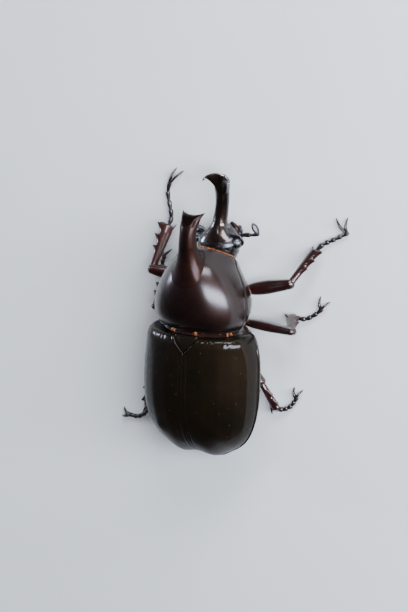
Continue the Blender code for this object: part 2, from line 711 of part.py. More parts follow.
def main():
    """Builds the beetle in an empty scene."""
    for obj in list(bpy.data.objects):
        bpy.data.objects.remove(obj, do_unlink=True)
    make_materials()
    build_elytra()
    build_scutellum()
    build_head()
    build_trunk()
    build_legs()
    stand_on_floor()


main()
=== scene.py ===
"""Fine surfaces, finishes and studio for a male Sumatran rhinoceros beetle.

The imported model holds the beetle's solids at life size, and each of them gets
a finer surface here, worked out from the same named sizes. Lengths are in
millimetres from the body origin: on the midline, where the back margin of the
pronotum meets the wing cases, at the level where the wing cases are widest.
The head points to -Y, and the beetle's right side lies on -X.
"""

import logging
import math
from collections.abc import Callable, Iterable, Sequence
from dataclasses import dataclass
from enum import Enum, StrEnum

import bpy
import numpy as np
from mathutils import Matrix, Vector


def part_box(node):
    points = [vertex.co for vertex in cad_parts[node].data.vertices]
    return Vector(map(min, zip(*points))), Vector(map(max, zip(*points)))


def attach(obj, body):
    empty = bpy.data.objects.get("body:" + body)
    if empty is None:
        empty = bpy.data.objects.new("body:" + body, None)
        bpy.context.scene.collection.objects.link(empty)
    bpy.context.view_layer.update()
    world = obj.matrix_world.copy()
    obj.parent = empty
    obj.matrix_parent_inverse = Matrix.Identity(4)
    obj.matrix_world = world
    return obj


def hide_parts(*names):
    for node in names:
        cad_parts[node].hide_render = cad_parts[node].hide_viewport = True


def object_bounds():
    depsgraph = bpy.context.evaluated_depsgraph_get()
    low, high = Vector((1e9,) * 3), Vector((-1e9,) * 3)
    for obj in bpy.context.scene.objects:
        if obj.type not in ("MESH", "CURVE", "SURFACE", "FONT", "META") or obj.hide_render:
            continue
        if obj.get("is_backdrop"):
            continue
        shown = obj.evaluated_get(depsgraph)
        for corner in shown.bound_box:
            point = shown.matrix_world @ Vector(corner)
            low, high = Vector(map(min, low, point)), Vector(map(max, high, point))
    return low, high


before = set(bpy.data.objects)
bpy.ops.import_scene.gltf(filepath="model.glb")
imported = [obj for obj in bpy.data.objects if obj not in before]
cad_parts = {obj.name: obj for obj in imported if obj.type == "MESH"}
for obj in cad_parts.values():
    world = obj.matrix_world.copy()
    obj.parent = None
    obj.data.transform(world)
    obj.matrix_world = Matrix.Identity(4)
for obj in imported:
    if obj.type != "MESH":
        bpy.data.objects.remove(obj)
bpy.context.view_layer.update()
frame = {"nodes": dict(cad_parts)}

Array = np.ndarray
Point = tuple[float, float, float]
Rows = tuple[tuple[float, ...], ...]
Root = Callable[[Array], tuple[Array, Array]]
Tree = bpy.types.NodeTree
Socket = bpy.types.NodeSocket

MM = 0.001
FLOOR = -9.5
EYE_CENTRE: Point = (4.25, -16.9, -4.1)
LOG = logging.getLogger("beetle")


class Side(Enum):
    """A side of the body, with the sign of its X."""

    LEFT = 1
    RIGHT = -1

    @property
    def label(self) -> str:
        """The side's name in lower case."""
        return self.name.lower()

    @property
    def flip(self) -> Array:
        """Factors that carry a point of the left side to this side."""
        return np.array([self.value, 1, 1])


class Slot(StrEnum):
    """A material slot of the record."""

    HORN = "horn_cuticle"
    EYE = "eye_cornea"
    FEELER = "antenna_cuticle"
    PRONOTUM = "pronotum_cuticle"
    ELYTRA = "elytra_cuticle"
    UNDERSIDE = "underside_cuticle"
    LEG = "leg_cuticle"
    FOOT = "tarsus_cuticle"


# Curves and surfaces


def spline(points: Sequence | Array, at: Array) -> Array:
    """Rows read from a curve with smooth curvature through the given rows.

    The second derivatives m solve m[i-1] + 4 m[i] + m[i+1] = 6 (p[i-1] - 2 p[i] + p[i+1])
    with m = 0 at both ends, and each span is a cubic of its own 0 to 1.

    Args:
        points: Rows that the curve passes through.
        at: Places along the curve, counted in rows from 0.

    Returns:
        One row of values for each place.
    """
    rows = np.asarray(points, float)
    count = len(rows)
    system = np.eye(count)
    inner = np.arange(1, count - 1)
    system[inner, inner - 1] = 1
    system[inner, inner] = 4
    system[inner, inner + 1] = 1
    right = np.zeros_like(rows)
    right[1:-1] = 6 * (rows[:-2] - 2 * rows[1:-1] + rows[2:])
    bend = np.linalg.solve(system, right)
    at = np.clip(np.asarray(at, float), 0, count - 1 - 1e-9)
    start = at.astype(int)
    f = (at - start)[..., None]
    g = 1 - f
    curve = ((g**3 - g) * bend[start] + (f**3 - f) * bend[start + 1]) / 6
    return g * rows[start] + f * rows[start + 1] + curve


def unit(vectors: Array) -> Array:
    """The vectors at length one."""
    vectors = np.asarray(vectors, float)
    return vectors / np.maximum(np.linalg.norm(vectors, axis=-1, keepdims=True), 1e-12)


def bump(x: Array, centre: float, width: float) -> Array:
    """A bell of height one: exp(-((x - centre) / width)^2)."""
    return np.exp(-(((x - centre) / width) ** 2))


def ramp(x: Array, start: float, end: float) -> Array:
    """A straight rise from 0 at the start to 1 at the end, level outside them."""
    return np.clip((x - start) / (end - start), 0, 1)


def edge_round(distance: Array, radius: float) -> Array:
    """How far a rounded edge lies below its face: radius (1 - sqrt(1 - (1 - d / radius)^2))."""
    q = 1 - np.clip(distance / radius, 0, 1)
    return radius * (1 - np.sqrt(1 - q**2))


def turns(count: int) -> Array:
    """Angles once round a ring."""
    return np.arange(count) * 2 * math.pi / count


def pair(size: Array, depth: float = 1.0) -> Array:
    """Half-widths beside half-depths that keep a ratio to them."""
    return np.stack([size, size * depth], 1)


def path_frames(path: Array, up: Array) -> tuple[Array, Array, Array]:
    """Unit vectors along a path, across it and over it.

    Args:
        path: Points of the path.
        up: A rough direction for over.

    Returns:
        Tangent, side and over at each point, as central differences and cross products.
    """
    tangent = unit(np.gradient(path, axis=0))
    side = unit(np.cross(tangent, up))
    return tangent, side, np.cross(side, tangent)


def sweep(
    path: Array, radii: Array, count: int, up: Sequence[float] = (0, 0, 1), power: float = 2.0
) -> Array:
    """Rings carried along a path.

    Each ring is path + side a c|c|^(2/p - 1) + over b s|s|^(2/p - 1), an oval that
    gets squarer as p grows past 2.

    Args:
        path: Points of the centre line.
        radii: Half-width and half-depth at each point.
        count: Points in a ring.
        up: Rough direction of the depth.
        power: The oval's p.

    Returns:
        Rings as an array of rows, points and coordinates.
    """
    _, side, over = path_frames(path, np.asarray(up, float))
    turn = turns(count)
    c, s = np.cos(turn), np.sin(turn)
    wide = np.sign(c) * np.abs(c) ** (2 / power)
    deep = np.sign(s) * np.abs(s) ** (2 / power)
    across = side[:, None] * (wide[None, :, None] * radii[:, None, :1])
    return path[:, None] + across + over[:, None] * (deep[None, :, None] * radii[:, None, 1:])


def rounded(
    path: Array, radii: Array, start: bool = True, end: bool = True, steps: int = 7
) -> tuple[Array, Array]:
    """A path and its radii with quarter-circle ends added.

    Args:
        path: Points of the centre line.
        radii: Half-width and half-depth at each point.
        start: Whether the first end is rounded.
        end: Whether the last end is rounded.
        steps: Rings in each end.

    Returns:
        The longer path and its radii. Ring k stands sin(k) of the radius further out
        and keeps cos(k) of the size.
    """
    turn = np.linspace(0, math.pi / 2, steps + 1)[1:]
    shrink = np.maximum(np.cos(turn), 0.03)[:, None]
    reach = np.sin(turn)[:, None]
    if end:
        way = unit(path[-1] - path[-2])
        path = np.vstack([path, path[-1] + way * reach * radii[-1].min()])
        radii = np.vstack([radii, radii[-1] * shrink])
    if start:
        way = unit(path[0] - path[1])
        path = np.vstack([(path[0] + way * reach * radii[0].min())[::-1], path])
        radii = np.vstack([(radii[0] * shrink)[::-1], radii])
    return path, radii


def raised(rings: Array, height: Array) -> Array:
    """Rings moved outwards along the surface's own normals.

    The normal is the cross product of the differences along the rows and round
    the rings.

    Args:
        rings: Rows of closed rings.
        height: How far each point moves.

    Returns:
        The moved rings.
    """
    along = np.gradient(rings, axis=0)
    around = np.roll(rings, -1, axis=1) - np.roll(rings, 1, axis=1)
    normal = unit(np.cross(along, around))
    out = rings - rings.mean(axis=1, keepdims=True)
    normal *= np.sign(np.sum(normal * out))
    return rings + normal * height[..., None]


@dataclass
class Surface:
    """Points in millimetres with the quads and triangles that join them."""

    points: Array
    quads: Array
    triangles: Array

    def outward(self) -> "Surface":
        """The same closed surface with its faces turned outwards, by the sign of its volume.

        Returns:
            This surface, or the same with every face reversed.
        """
        q = self.quads
        fans = np.concatenate([self.triangles, q[:, [0, 1, 2]], q[:, [0, 2, 3]]])
        corners = self.points[fans] - self.points.mean(0)
        volume = np.einsum("ij,ij->", np.cross(corners[:, 0], corners[:, 1]), corners[:, 2])
        if volume < 0:
            return Surface(self.points, q[:, ::-1], self.triangles[:, ::-1])
        return self


def tube(rings: Array, zip_end: bool = False) -> Surface:
    """A closed surface from rows of rings.

    Args:
        rings: Rows of closed rings.
        zip_end: Closes a flat last ring across its thickness, point k to point
            count - k, where the other ends are closed at a pole in their middle.

    Returns:
        The surface, with its faces outwards.
    """
    rows, count = rings.shape[:2]
    i, j = np.meshgrid(np.arange(rows - 1), np.arange(count), indexing="ij")
    a, b = i * count + j, i * count + (j + 1) % count
    quads = np.stack([a, b, b + count, a + count], -1).reshape(-1, 4)
    k = np.arange(count)
    following = (k + 1) % count
    last = (rows - 1) * count
    points = np.vstack([rings.reshape(-1, 3), rings[0].mean(0)])
    fans = [np.stack([np.full(count, rows * count), following, k], -1)]
    if zip_end:
        half, k = count // 2, np.arange(1, count // 2 - 1)
        quads = np.vstack([quads, last + np.stack([k, k + 1, count - k - 1, count - k], -1)])
        fans.append(last + np.array([[0, 1, count - 1], [half - 1, half, half + 1]]))
    else:
        points = np.vstack([points, rings[-1].mean(0)])
        fans.append(np.stack([np.full(count, rows * count + 1), last + k, last + following], -1))
    return Surface(points, quads, np.concatenate(fans)).outward()


def limb(
    path: Array, radii: Array, count: int, start: bool = True, end: bool = True, steps: int = 7
) -> Surface:
    """A closed rod of oval rings along a path, with the ends of rounded()."""
    return tube(sweep(*rounded(path, radii, start, end, steps), count))


def joined(surfaces: Iterable[Surface]) -> Surface:
    """Several surfaces as one, with the numbers of each shifted past those before it.

    Args:
        surfaces: The surfaces.

    Returns:
        One surface that holds them all.
    """
    surfaces = list(surfaces)
    starts = np.cumsum([0] + [len(s.points) for s in surfaces[:-1]])
    return Surface(
        np.vstack([s.points for s in surfaces]),
        np.vstack([s.quads + n for s, n in zip(surfaces, starts)]),
        np.vstack([s.triangles + n for s, n in zip(surfaces, starts)]),
    )


def ellipsoid(centre: Array, axes: Array, rows: int = 12, count: int = 20) -> Surface:
    """A closed ellipsoid: centre + cos(t) a0 + sin(t) (cos(u) a1 + sin(u) a2).

    Args:
        centre: Its middle.
        axes: Its three half-axes as rows.
        rows: Rings between the poles.
        count: Points in a ring.

    Returns:
        The surface.
    """
    t = np.linspace(0, math.pi, rows + 2)[1:-1, None, None]
    u = turns(count)[None, :, None]
    rings = centre + np.cos(t) * axes[0] + np.sin(t) * (np.cos(u) * axes[1] + np.sin(u) * axes[2])
    solid = tube(rings)
    solid.points[-2:] = np.array([centre + axes[0], centre - axes[0]])
    return solid


def cone(root: Array, tip: Array, radius: float, bow: Array, count: int = 12) -> Surface:
    """A spine round root + (tip - root) t + bow 4 t (1 - t), with radius (1 - t^1.6).

    Args:
        root: Middle of its base.
        tip: Its point.
        radius: Radius at the base.
        bow: How far its middle is bent aside.
        count: Points in a ring.

    Returns:
        The closed surface.
    """
    t = np.linspace(0, 1, 12)[:, None]
    path = root + (tip - root) * t + bow * 4 * t * (1 - t)
    radii = np.repeat(radius * np.maximum(1 - t**1.6, 0.04), 2, axis=1)
    return tube(sweep(path, radii, count, up=(0.3, 0.4, 0.87)))


# Placing


@dataclass(frozen=True)
class BodyFrame:
    """Where the body's own millimetres lie in the model's metres."""

    shift: Point

    @classmethod
    def from_eye(cls) -> "BodyFrame":
        """The frame in which the left eye's solid has its own centre.

        Returns:
            The frame, with its shift in millimetres.
        """
        low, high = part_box("eye_left")
        middle = (np.array(low) + np.array(high)) / 2 / MM
        return cls(tuple(middle - np.array(EYE_CENTRE)))

    def metres(self, points: Array) -> Array:
        """Body points in the model's metres."""
        return (np.asarray(points) + np.array(self.shift)) * MM


PLACE = BodyFrame.from_eye()


# Finishes


def linear(code: str) -> tuple[float, float, float, float]:
    """A #rrggbb colour as linear red, green, blue and alpha."""
    parts = [int(code[k : k + 2], 16) / 255 for k in (1, 3, 5)]
    return (*(p / 12.92 if p <= 0.04045 else ((p + 0.055) / 1.055) ** 2.4 for p in parts), 1.0)


def add_node(
    tree: Tree, kind: str, settings: dict | None = None, feeds: dict | None = None
) -> bpy.types.Node:
    """Adds a node with its settings and what feeds its sockets.

    Args:
        tree: The node tree.
        kind: The node's type.
        settings: Properties of the node.
        feeds: For each socket's name or number, a value or the socket that feeds it.

    Returns:
        The node.
    """
    node = tree.nodes.new(kind)
    for key, value in (settings or {}).items():
        setattr(node, key, value)
    for key, value in (feeds or {}).items():
        if isinstance(value, Socket):
            tree.links.new(value, node.inputs[key])
        else:
            node.inputs[key].default_value = value
    return node


@dataclass(frozen=True)
class Finish:
    """A surface finish, made once and shared by the pieces that have it."""

    name: str

    def dress(self, tree: Tree, shader: bpy.types.Node, mm: Socket) -> None:
        """Adds the finish's own nodes, which each kind of finish defines."""
        raise NotImplementedError

    def material(self) -> bpy.types.Material:
        """The finish as a material whose patterns read object coordinates in millimetres.

        Returns:
            The one material of that name.
        """
        made = bpy.data.materials.get(self.name)
        if made is None:
            made = bpy.data.materials.new(self.name)
            made.use_nodes = True
            tree = made.node_tree
            place = add_node(tree, "ShaderNodeTexCoord").outputs["Object"]
            scale = (1 / MM, 1 / MM, 1 / MM)
            mm = add_node(tree, "ShaderNodeMapping", feeds={"Vector": place, "Scale": scale}).outputs[0]
            self.dress(tree, tree.nodes["Principled BSDF"], mm)
        return made


@dataclass(frozen=True)
class Cuticle(Finish):
    """Hard insect cuticle: dark sclerotin under a clear waxy layer.

    The dark pigment lies under a smooth skin of wax, so the highlight has a white
    core with a red-brown glow round it. Punctures are real pits, a tenth of a
    millimetre across, drawn a little coarser so that they show. A horn can be worn
    smooth from a given y to its tip. The spacing of the pits is in millimetres, and
    the size of a pit is its share of it. The other patterns are counted in each
    millimetre.
    """

    deep: str
    glow: str
    glow_share: float = 0.5
    tint: str = "#ffffff"
    under_gloss: float = 0.5
    roughness: float = 0.4
    coat: float = 0.8
    coat_roughness: float = 0.12
    pit_spacing: float = 0.4
    pit_size: float = 0.3
    pit_depth: float = 0.012
    grain: float = 0.25
    grains_per_mm: float = 4.5
    clouds_per_mm: float = 0.22
    wear_per_mm: float = 0.9
    dust: float = 0.0
    dust_per_mm: float = 0.75
    dust_colour: str = "#8b8069"
    worn_from: float = 0.0
    worn_over: float = 1.6
    worn_roughness: float = 0.12
    cuticle_ior: float = 1.56
    wax_ior: float = 1.48

    def colour(self, tree: Tree, mm: Socket) -> Socket:
        """Deep brown with soft clouds of the glow colour, and specks of dust where it has any.

        Args:
            tree: The material's nodes.
            mm: Coordinates in millimetres.

        Returns:
            The colour's socket.
        """
        clouds = add_node(
            tree, "ShaderNodeTexNoise", feeds={"Vector": mm, "Scale": self.clouds_per_mm, "Detail": 3.0}
        ).outputs["Fac"]
        share = add_node(
            tree,
            "ShaderNodeMapRange",
            feeds={"Value": clouds, "From Min": 0.35, "From Max": 0.7, "To Max": self.glow_share},
        ).outputs[0]
        colour = add_node(
            tree,
            "ShaderNodeMix",
            {"data_type": "RGBA"},
            {"Factor": share, "A": linear(self.deep), "B": linear(self.glow)},
        ).outputs["Result"]
        if not self.dust:
            return colour
        specks = add_node(
            tree, "ShaderNodeTexVoronoi", feeds={"Vector": mm, "Scale": self.dust_per_mm}
        ).outputs["Distance"]
        speck = add_node(
            tree,
            "ShaderNodeMapRange",
            feeds={"Value": specks, "From Min": 0.03, "From Max": 0.09, "To Min": self.dust, "To Max": 0.0},
        ).outputs[0]
        return add_node(
            tree,
            "ShaderNodeMix",
            {"data_type": "RGBA"},
            {"Factor": speck, "A": colour, "B": linear(self.dust_colour)},
        ).outputs["Result"]

    def relief(self, tree: Tree, mm: Socket) -> Socket:
        """Pits with smooth walls over a fine grain.

        Args:
            tree: The material's nodes.
            mm: Coordinates in millimetres.

        Returns:
            The socket of the bumped normal.
        """
        pits = add_node(
            tree,
            "ShaderNodeTexVoronoi",
            feeds={"Vector": mm, "Scale": 1 / self.pit_spacing, "Randomness": 0.85},
        ).outputs["Distance"]
        floor = add_node(
            tree,
            "ShaderNodeMapRange",
            {"interpolation_type": "SMOOTHSTEP"},
            {"Value": pits, "From Min": 0.02, "From Max": self.pit_size},
        ).outputs[0]
        fine = add_node(
            tree, "ShaderNodeTexNoise", feeds={"Vector": mm, "Scale": self.grains_per_mm, "Detail": 4.0}
        ).outputs["Fac"]
        height = add_node(
            tree, "ShaderNodeMath", {"operation": "MULTIPLY_ADD"}, {0: fine, 1: self.grain, 2: floor}
        ).outputs[0]
        return add_node(
            tree,
            "ShaderNodeBump",
            feeds={"Strength": 1.0, "Distance": self.pit_depth * MM, "Height": height},
        ).outputs[0]

    def gloss(self, tree: Tree, mm: Socket) -> Socket:
        """Roughness that varies with wear, and falls where a horn is rubbed smooth.

        Args:
            tree: The material's nodes.
            mm: Coordinates in millimetres.

        Returns:
            The roughness socket.
        """
        wear = add_node(
            tree, "ShaderNodeTexNoise", feeds={"Vector": mm, "Scale": self.wear_per_mm, "Detail": 5.0}
        ).outputs["Fac"]
        low, high = self.roughness - 0.05, self.roughness + 0.07
        rough = add_node(
            tree,
            "ShaderNodeMapRange",
            feeds={"Value": wear, "From Min": 0.3, "From Max": 0.7, "To Min": low, "To Max": high},
        ).outputs[0]
        if not self.worn_from:
            return rough
        ahead = add_node(tree, "ShaderNodeSeparateXYZ", feeds={0: mm}).outputs["Y"]
        start = self.worn_from + PLACE.shift[1]
        worn = add_node(
            tree,
            "ShaderNodeMapRange",
            {"interpolation_type": "SMOOTHSTEP"},
            {"Value": ahead, "From Min": start, "From Max": start - self.worn_over},
        ).outputs[0]
        return add_node(
            tree,
            "ShaderNodeMix",
            {"data_type": "FLOAT"},
            {"Factor": worn, "A": rough, "B": self.worn_roughness},
        ).outputs["Result"]

    def dress(self, tree: Tree, shader: bpy.types.Node, mm: Socket) -> None:
        """Links colour, gloss and relief to the shader, and sets what is the same all over.

        Args:
            tree: The material's nodes.
            shader: Its main shader.
            mm: Coordinates in millimetres.
        """
        relief = self.relief(tree, mm)
        for key, socket in (
            ("Base Color", self.colour(tree, mm)),
            ("Roughness", self.gloss(tree, mm)),
            ("Normal", relief),
            ("Coat Normal", relief),
        ):
            tree.links.new(socket, shader.inputs[key])
        shader.inputs["IOR"].default_value = self.cuticle_ior
        shader.inputs["Specular IOR Level"].default_value = self.under_gloss
        shader.inputs["Specular Tint"].default_value = linear(self.tint)
        shader.inputs["Coat Weight"].default_value = self.coat
        shader.inputs["Coat Roughness"].default_value = self.coat_roughness
        shader.inputs["Coat IOR"].default_value = self.wax_ior


# Nearly smooth wax over the dome spreads the window light into one broad, milky patch.
PRONOTUM_CUTICLE = Cuticle(
    "polished_pronotum_cuticle", "#080404", "#150806", tint="#ff9a5c", under_gloss=0.1, roughness=0.42,
    coat=0.8, coat_roughness=0.24, pit_spacing=0.35, pit_size=0.16, pit_depth=0.003,
)
# A thin wax film over olive-black wing cases: dark flanks, narrow highlights and stray dust.
ELYTRA_CUTICLE = Cuticle(
    "satin_elytra_cuticle", "#090704", "#130b06", tint="#d0a070", under_gloss=0.08, roughness=0.45,
    coat=0.3, coat_roughness=0.12, pit_spacing=0.4, pit_size=0.22, pit_depth=0.004, dust=0.2,
)
# The thoracic horn looks deep red-brown, dull on its shaft and rubbed bright at its tines.
HORN_CUTICLE = Cuticle(
    "worn_horn_cuticle", "#080404", "#160806", tint="#ff9a70", under_gloss=0.12, roughness=0.42,
    coat=0.16, coat_roughness=0.22, pit_spacing=0.4, pit_size=0.18, pit_depth=0.003, worn_from=-21.6,
)
# The head horn is blacker, with shallow dents that break its sharp white highlights.
HEAD_HORN_CUTICLE = Cuticle(
    "black_horn_cuticle", "#070504", "#120906", tint="#e0b090", under_gloss=0.3, roughness=0.3,
    coat=1.0, coat_roughness=0.06, pit_spacing=0.6, pit_size=0.3, pit_depth=0.02,
)
# Coarse punctures close together make the head glitter like wet coal.
HEAD_CUTICLE = Cuticle(
    "punctured_head_cuticle", "#060404", "#0c0605", under_gloss=0.15, roughness=0.32,
    coat=1.0, coat_roughness=0.07, pit_spacing=0.36, pit_size=0.4, pit_depth=0.04, grain=0.3,
)
# Legs are mahogany brown with a crisp line of light along each thigh and shank.
LEG_CUTICLE = Cuticle(
    "mahogany_leg_cuticle", "#160908", "#2c100d", glow_share=0.7, tint="#ffb8a8", under_gloss=0.24,
    roughness=0.42, coat=0.9, coat_roughness=0.13, pit_spacing=0.45, pit_size=0.2, pit_depth=0.008,
)
# The small joints of the feet look nearly black, with a point of light on each.
FOOT_CUTICLE = Cuticle(
    "dark_foot_cuticle", "#120807", "#230d0b", under_gloss=0.3, roughness=0.4,
    coat=0.5, coat_roughness=0.14, pit_spacing=0.3, pit_depth=0.008,
)
# Feelers and palps are softer, browner and less shiny than the head.
FEELER_CUTICLE = Cuticle(
    "brown_feeler_cuticle", "#0e0705", "#1d0d07", under_gloss=0.35, roughness=0.4,
    coat=0.3, coat_roughness=0.1, pit_spacing=0.2, pit_depth=0.006,
)
# The underside is chestnut, dulled by coarse pits where the hairs grow.
BELLY_CUTICLE = Cuticle(
    "brown_belly_cuticle", "#110806", "#2a130a", under_gloss=0.3, roughness=0.42,
    coat=0.7, coat_roughness=0.2, pit_spacing=0.35, pit_size=0.4, pit_depth=0.03,
)
# The eye is a black glassy globe. Its facets are drawn coarser than the real ones.
EYE_CUTICLE = Cuticle(
    "faceted_eye_cornea", "#050404", "#0d0806", roughness=0.25, coat=1.0, coat_roughness=0.05,
    pit_spacing=0.09, pit_size=0.5, pit_depth=0.02, grain=0.0,
)


@dataclass(frozen=True)
class Bristle(Finish):
    """Stiff hair of tanned chitin: orange-brown, with a soft gloss."""

    root: str
    tip: str
    vary_size: float = 0.5
    roughness: float = 0.45
    chitin_ior: float = 1.55

    def dress(self, tree: Tree, shader: bpy.types.Node, mm: Socket) -> None:
        """Varies the colour from tuft to tuft.

        Args:
            tree: The material's nodes.
            shader: Its main shader.
            mm: Coordinates in millimetres.
        """
        vary = add_node(
            tree, "ShaderNodeTexNoise", feeds={"Vector": mm, "Scale": 1 / self.vary_size, "Detail": 2.0}
        ).outputs["Fac"]
        share = add_node(
            tree, "ShaderNodeMapRange", feeds={"Value": vary, "From Min": 0.35, "From Max": 0.65}
        ).outputs[0]
        colour = add_node(
            tree,
            "ShaderNodeMix",
            {"data_type": "RGBA"},
            {"Factor": share, "A": linear(self.root), "B": linear(self.tip)},
        ).outputs["Result"]
        tree.links.new(colour, shader.inputs["Base Color"])
        shader.inputs["Roughness"].default_value = self.roughness
        shader.inputs["IOR"].default_value = self.chitin_ior


# The fringe glows orange along the margins, and the coat below is dull brown.
ORANGE_SETAE = Bristle("orange_setae", "#7a3512", "#c07030")
BROWN_SETAE = Bristle("brown_setae", "#4a2110", "#8a4a1f")


@dataclass(frozen=True)
class Paint(Finish):
    """Matt emulsion on board, with the faint clouds that a roller leaves."""

    dark: str
    pale: str
    clouds_per_mm: float = 0.03
    roughness: float = 0.85

    def dress(self, tree: Tree, shader: bpy.types.Node, mm: Socket) -> None:
        """Mixes the two shades by soft clouds.

        Args:
            tree: The material's nodes.
            shader: Its main shader.
            mm: Coordinates in millimetres.
        """
        clouds = add_node(
            tree, "ShaderNodeTexNoise", feeds={"Vector": mm, "Scale": self.clouds_per_mm, "Detail": 4.0}
        ).outputs["Fac"]
        colour = add_node(
            tree,
            "ShaderNodeMix",
            {"data_type": "RGBA"},
            {"Factor": clouds, "A": linear(self.dark), "B": linear(self.pale)},
        ).outputs["Result"]
        tree.links.new(colour, shader.inputs["Base Color"])
        shader.inputs["Roughness"].default_value = self.roughness


# Warm white paint keeps the floor pale and free of glare.
FLOOR_PAINT = Paint("painted_board", "#bfbcb4", "#c6c3bc")


# Pieces


def make_piece(name: str, surface: Surface, finish: Finish, slot: Slot, *nodes: str) -> bpy.types.Object:
    """A finished piece at the origin, carried by the model's one body.

    Args:
        name: The piece's name.
        surface: Its shape, in body millimetres.
        finish: Its finish.
        slot: The record's material slot. It is not used.
        *nodes: The solids that it stands for.

    Returns:
        The object.
    """
    mesh = bpy.data.meshes.new(name)
    mesh.vertices.add(len(surface.points))
    mesh.vertices.foreach_set("co", PLACE.metres(surface.points).astype(np.float32).ravel())
    loops = np.concatenate([surface.quads.ravel(), surface.triangles.ravel()]).astype(np.int32)
    quads, triangles = len(surface.quads), len(surface.triangles)
    starts = np.concatenate([np.arange(quads) * 4, quads * 4 + np.arange(triangles) * 3])
    mesh.loops.add(len(loops))
    mesh.loops.foreach_set("vertex_index", loops)
    mesh.polygons.add(len(starts))
    mesh.polygons.foreach_set("loop_start", starts.astype(np.int32))
    mesh.update(calc_edges=True)
    mesh.validate()
    mesh.shade_smooth()
    mesh.set_sharp_from_angle(angle=math.radians(55))
    mesh.materials.append(finish.material())
    piece = bpy.data.objects.new(name, mesh)
    bpy.context.scene.collection.objects.link(piece)
    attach(piece, "root")
    if nodes:
        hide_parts(*nodes)
    LOG.info("%s: %d faces", name, quads + triangles)
    return piece


# Bodies and horns


@dataclass(frozen=True)
class LoftedBody:
    """A body part read from stations: y, half-width, top, bottom, widest level, lean.

    A ring at station v has x = half sin(u), and above its widest level
    z = level + (top - level) cos(u), each raised to 2 / power. The power falls by
    twice the easing from the first station to the last. The whole ring then leans
    forward by lean times z.
    """

    stations: Rows
    power: float = 2.2
    under: float = 2.0
    easing: float = 0.0

    def point(self, v: Array, turn: Array) -> Array:
        """The surface at a station and an angle from the top.

        Args:
            v: Places along the body, counted in stations.
            turn: Angles round the body.

        Returns:
            Points for the two arrays taken together.
        """
        v, turn = np.broadcast_arrays(np.asarray(v, float), np.asarray(turn, float))
        y, half, top, bottom, level, lean = np.moveaxis(spline(self.stations, v), -1, 0)
        c, s = np.cos(turn), np.sin(turn)
        power = self.power + self.easing * np.cos(math.pi * ramp(v, 0, len(self.stations) - 1))
        x = half * np.sign(s) * np.abs(s) ** (2 / power)
        above = (top - level) * np.abs(c) ** (2 / power)
        below = (level - bottom) * np.abs(c) ** (2 / self.under)
        z = level + np.where(c > 0, above, -below)
        return np.stack([x, y - lean * z, z], axis=-1)


def root_on(
    body: LoftedBody, centre: float, along: float, around: float, sink: float = 0.0
) -> Root:
    """Where a horn stands on a lofted body.

    Args:
        body: The body.
        centre: Station at the middle of the root.
        along: Half the root's length, in stations.
        around: Half the root's width, in radians round the body.
        sink: How far the lower side of the root lies inside the body.

    Returns:
        A function of the angle a round the horn. The point lies at station
        centre - along sin(a) and turn -around cos(a), and the normal is the cross
        product of the differences along the body and round it.
    """

    def root(angle: Array) -> tuple[Array, Array]:
        """Points of the root and the skin's normals there, for angles round the horn.

        Args:
            angle: Angles round the horn.

        Returns:
            The points and the normals.
        """
        v = centre - along * np.sin(angle)
        turn = -around * np.cos(angle)
        here = body.point(v, turn)
        normal = unit(np.cross(body.point(v, turn + 0.01) - here, body.point(v + 0.01, turn) - here))
        normal *= np.sign(normal[:, 2:].mean())
        low = np.clip(-np.sin(angle), 0, 1)[:, None]
        return here - normal * (low * sink + 0.02), normal

    return root


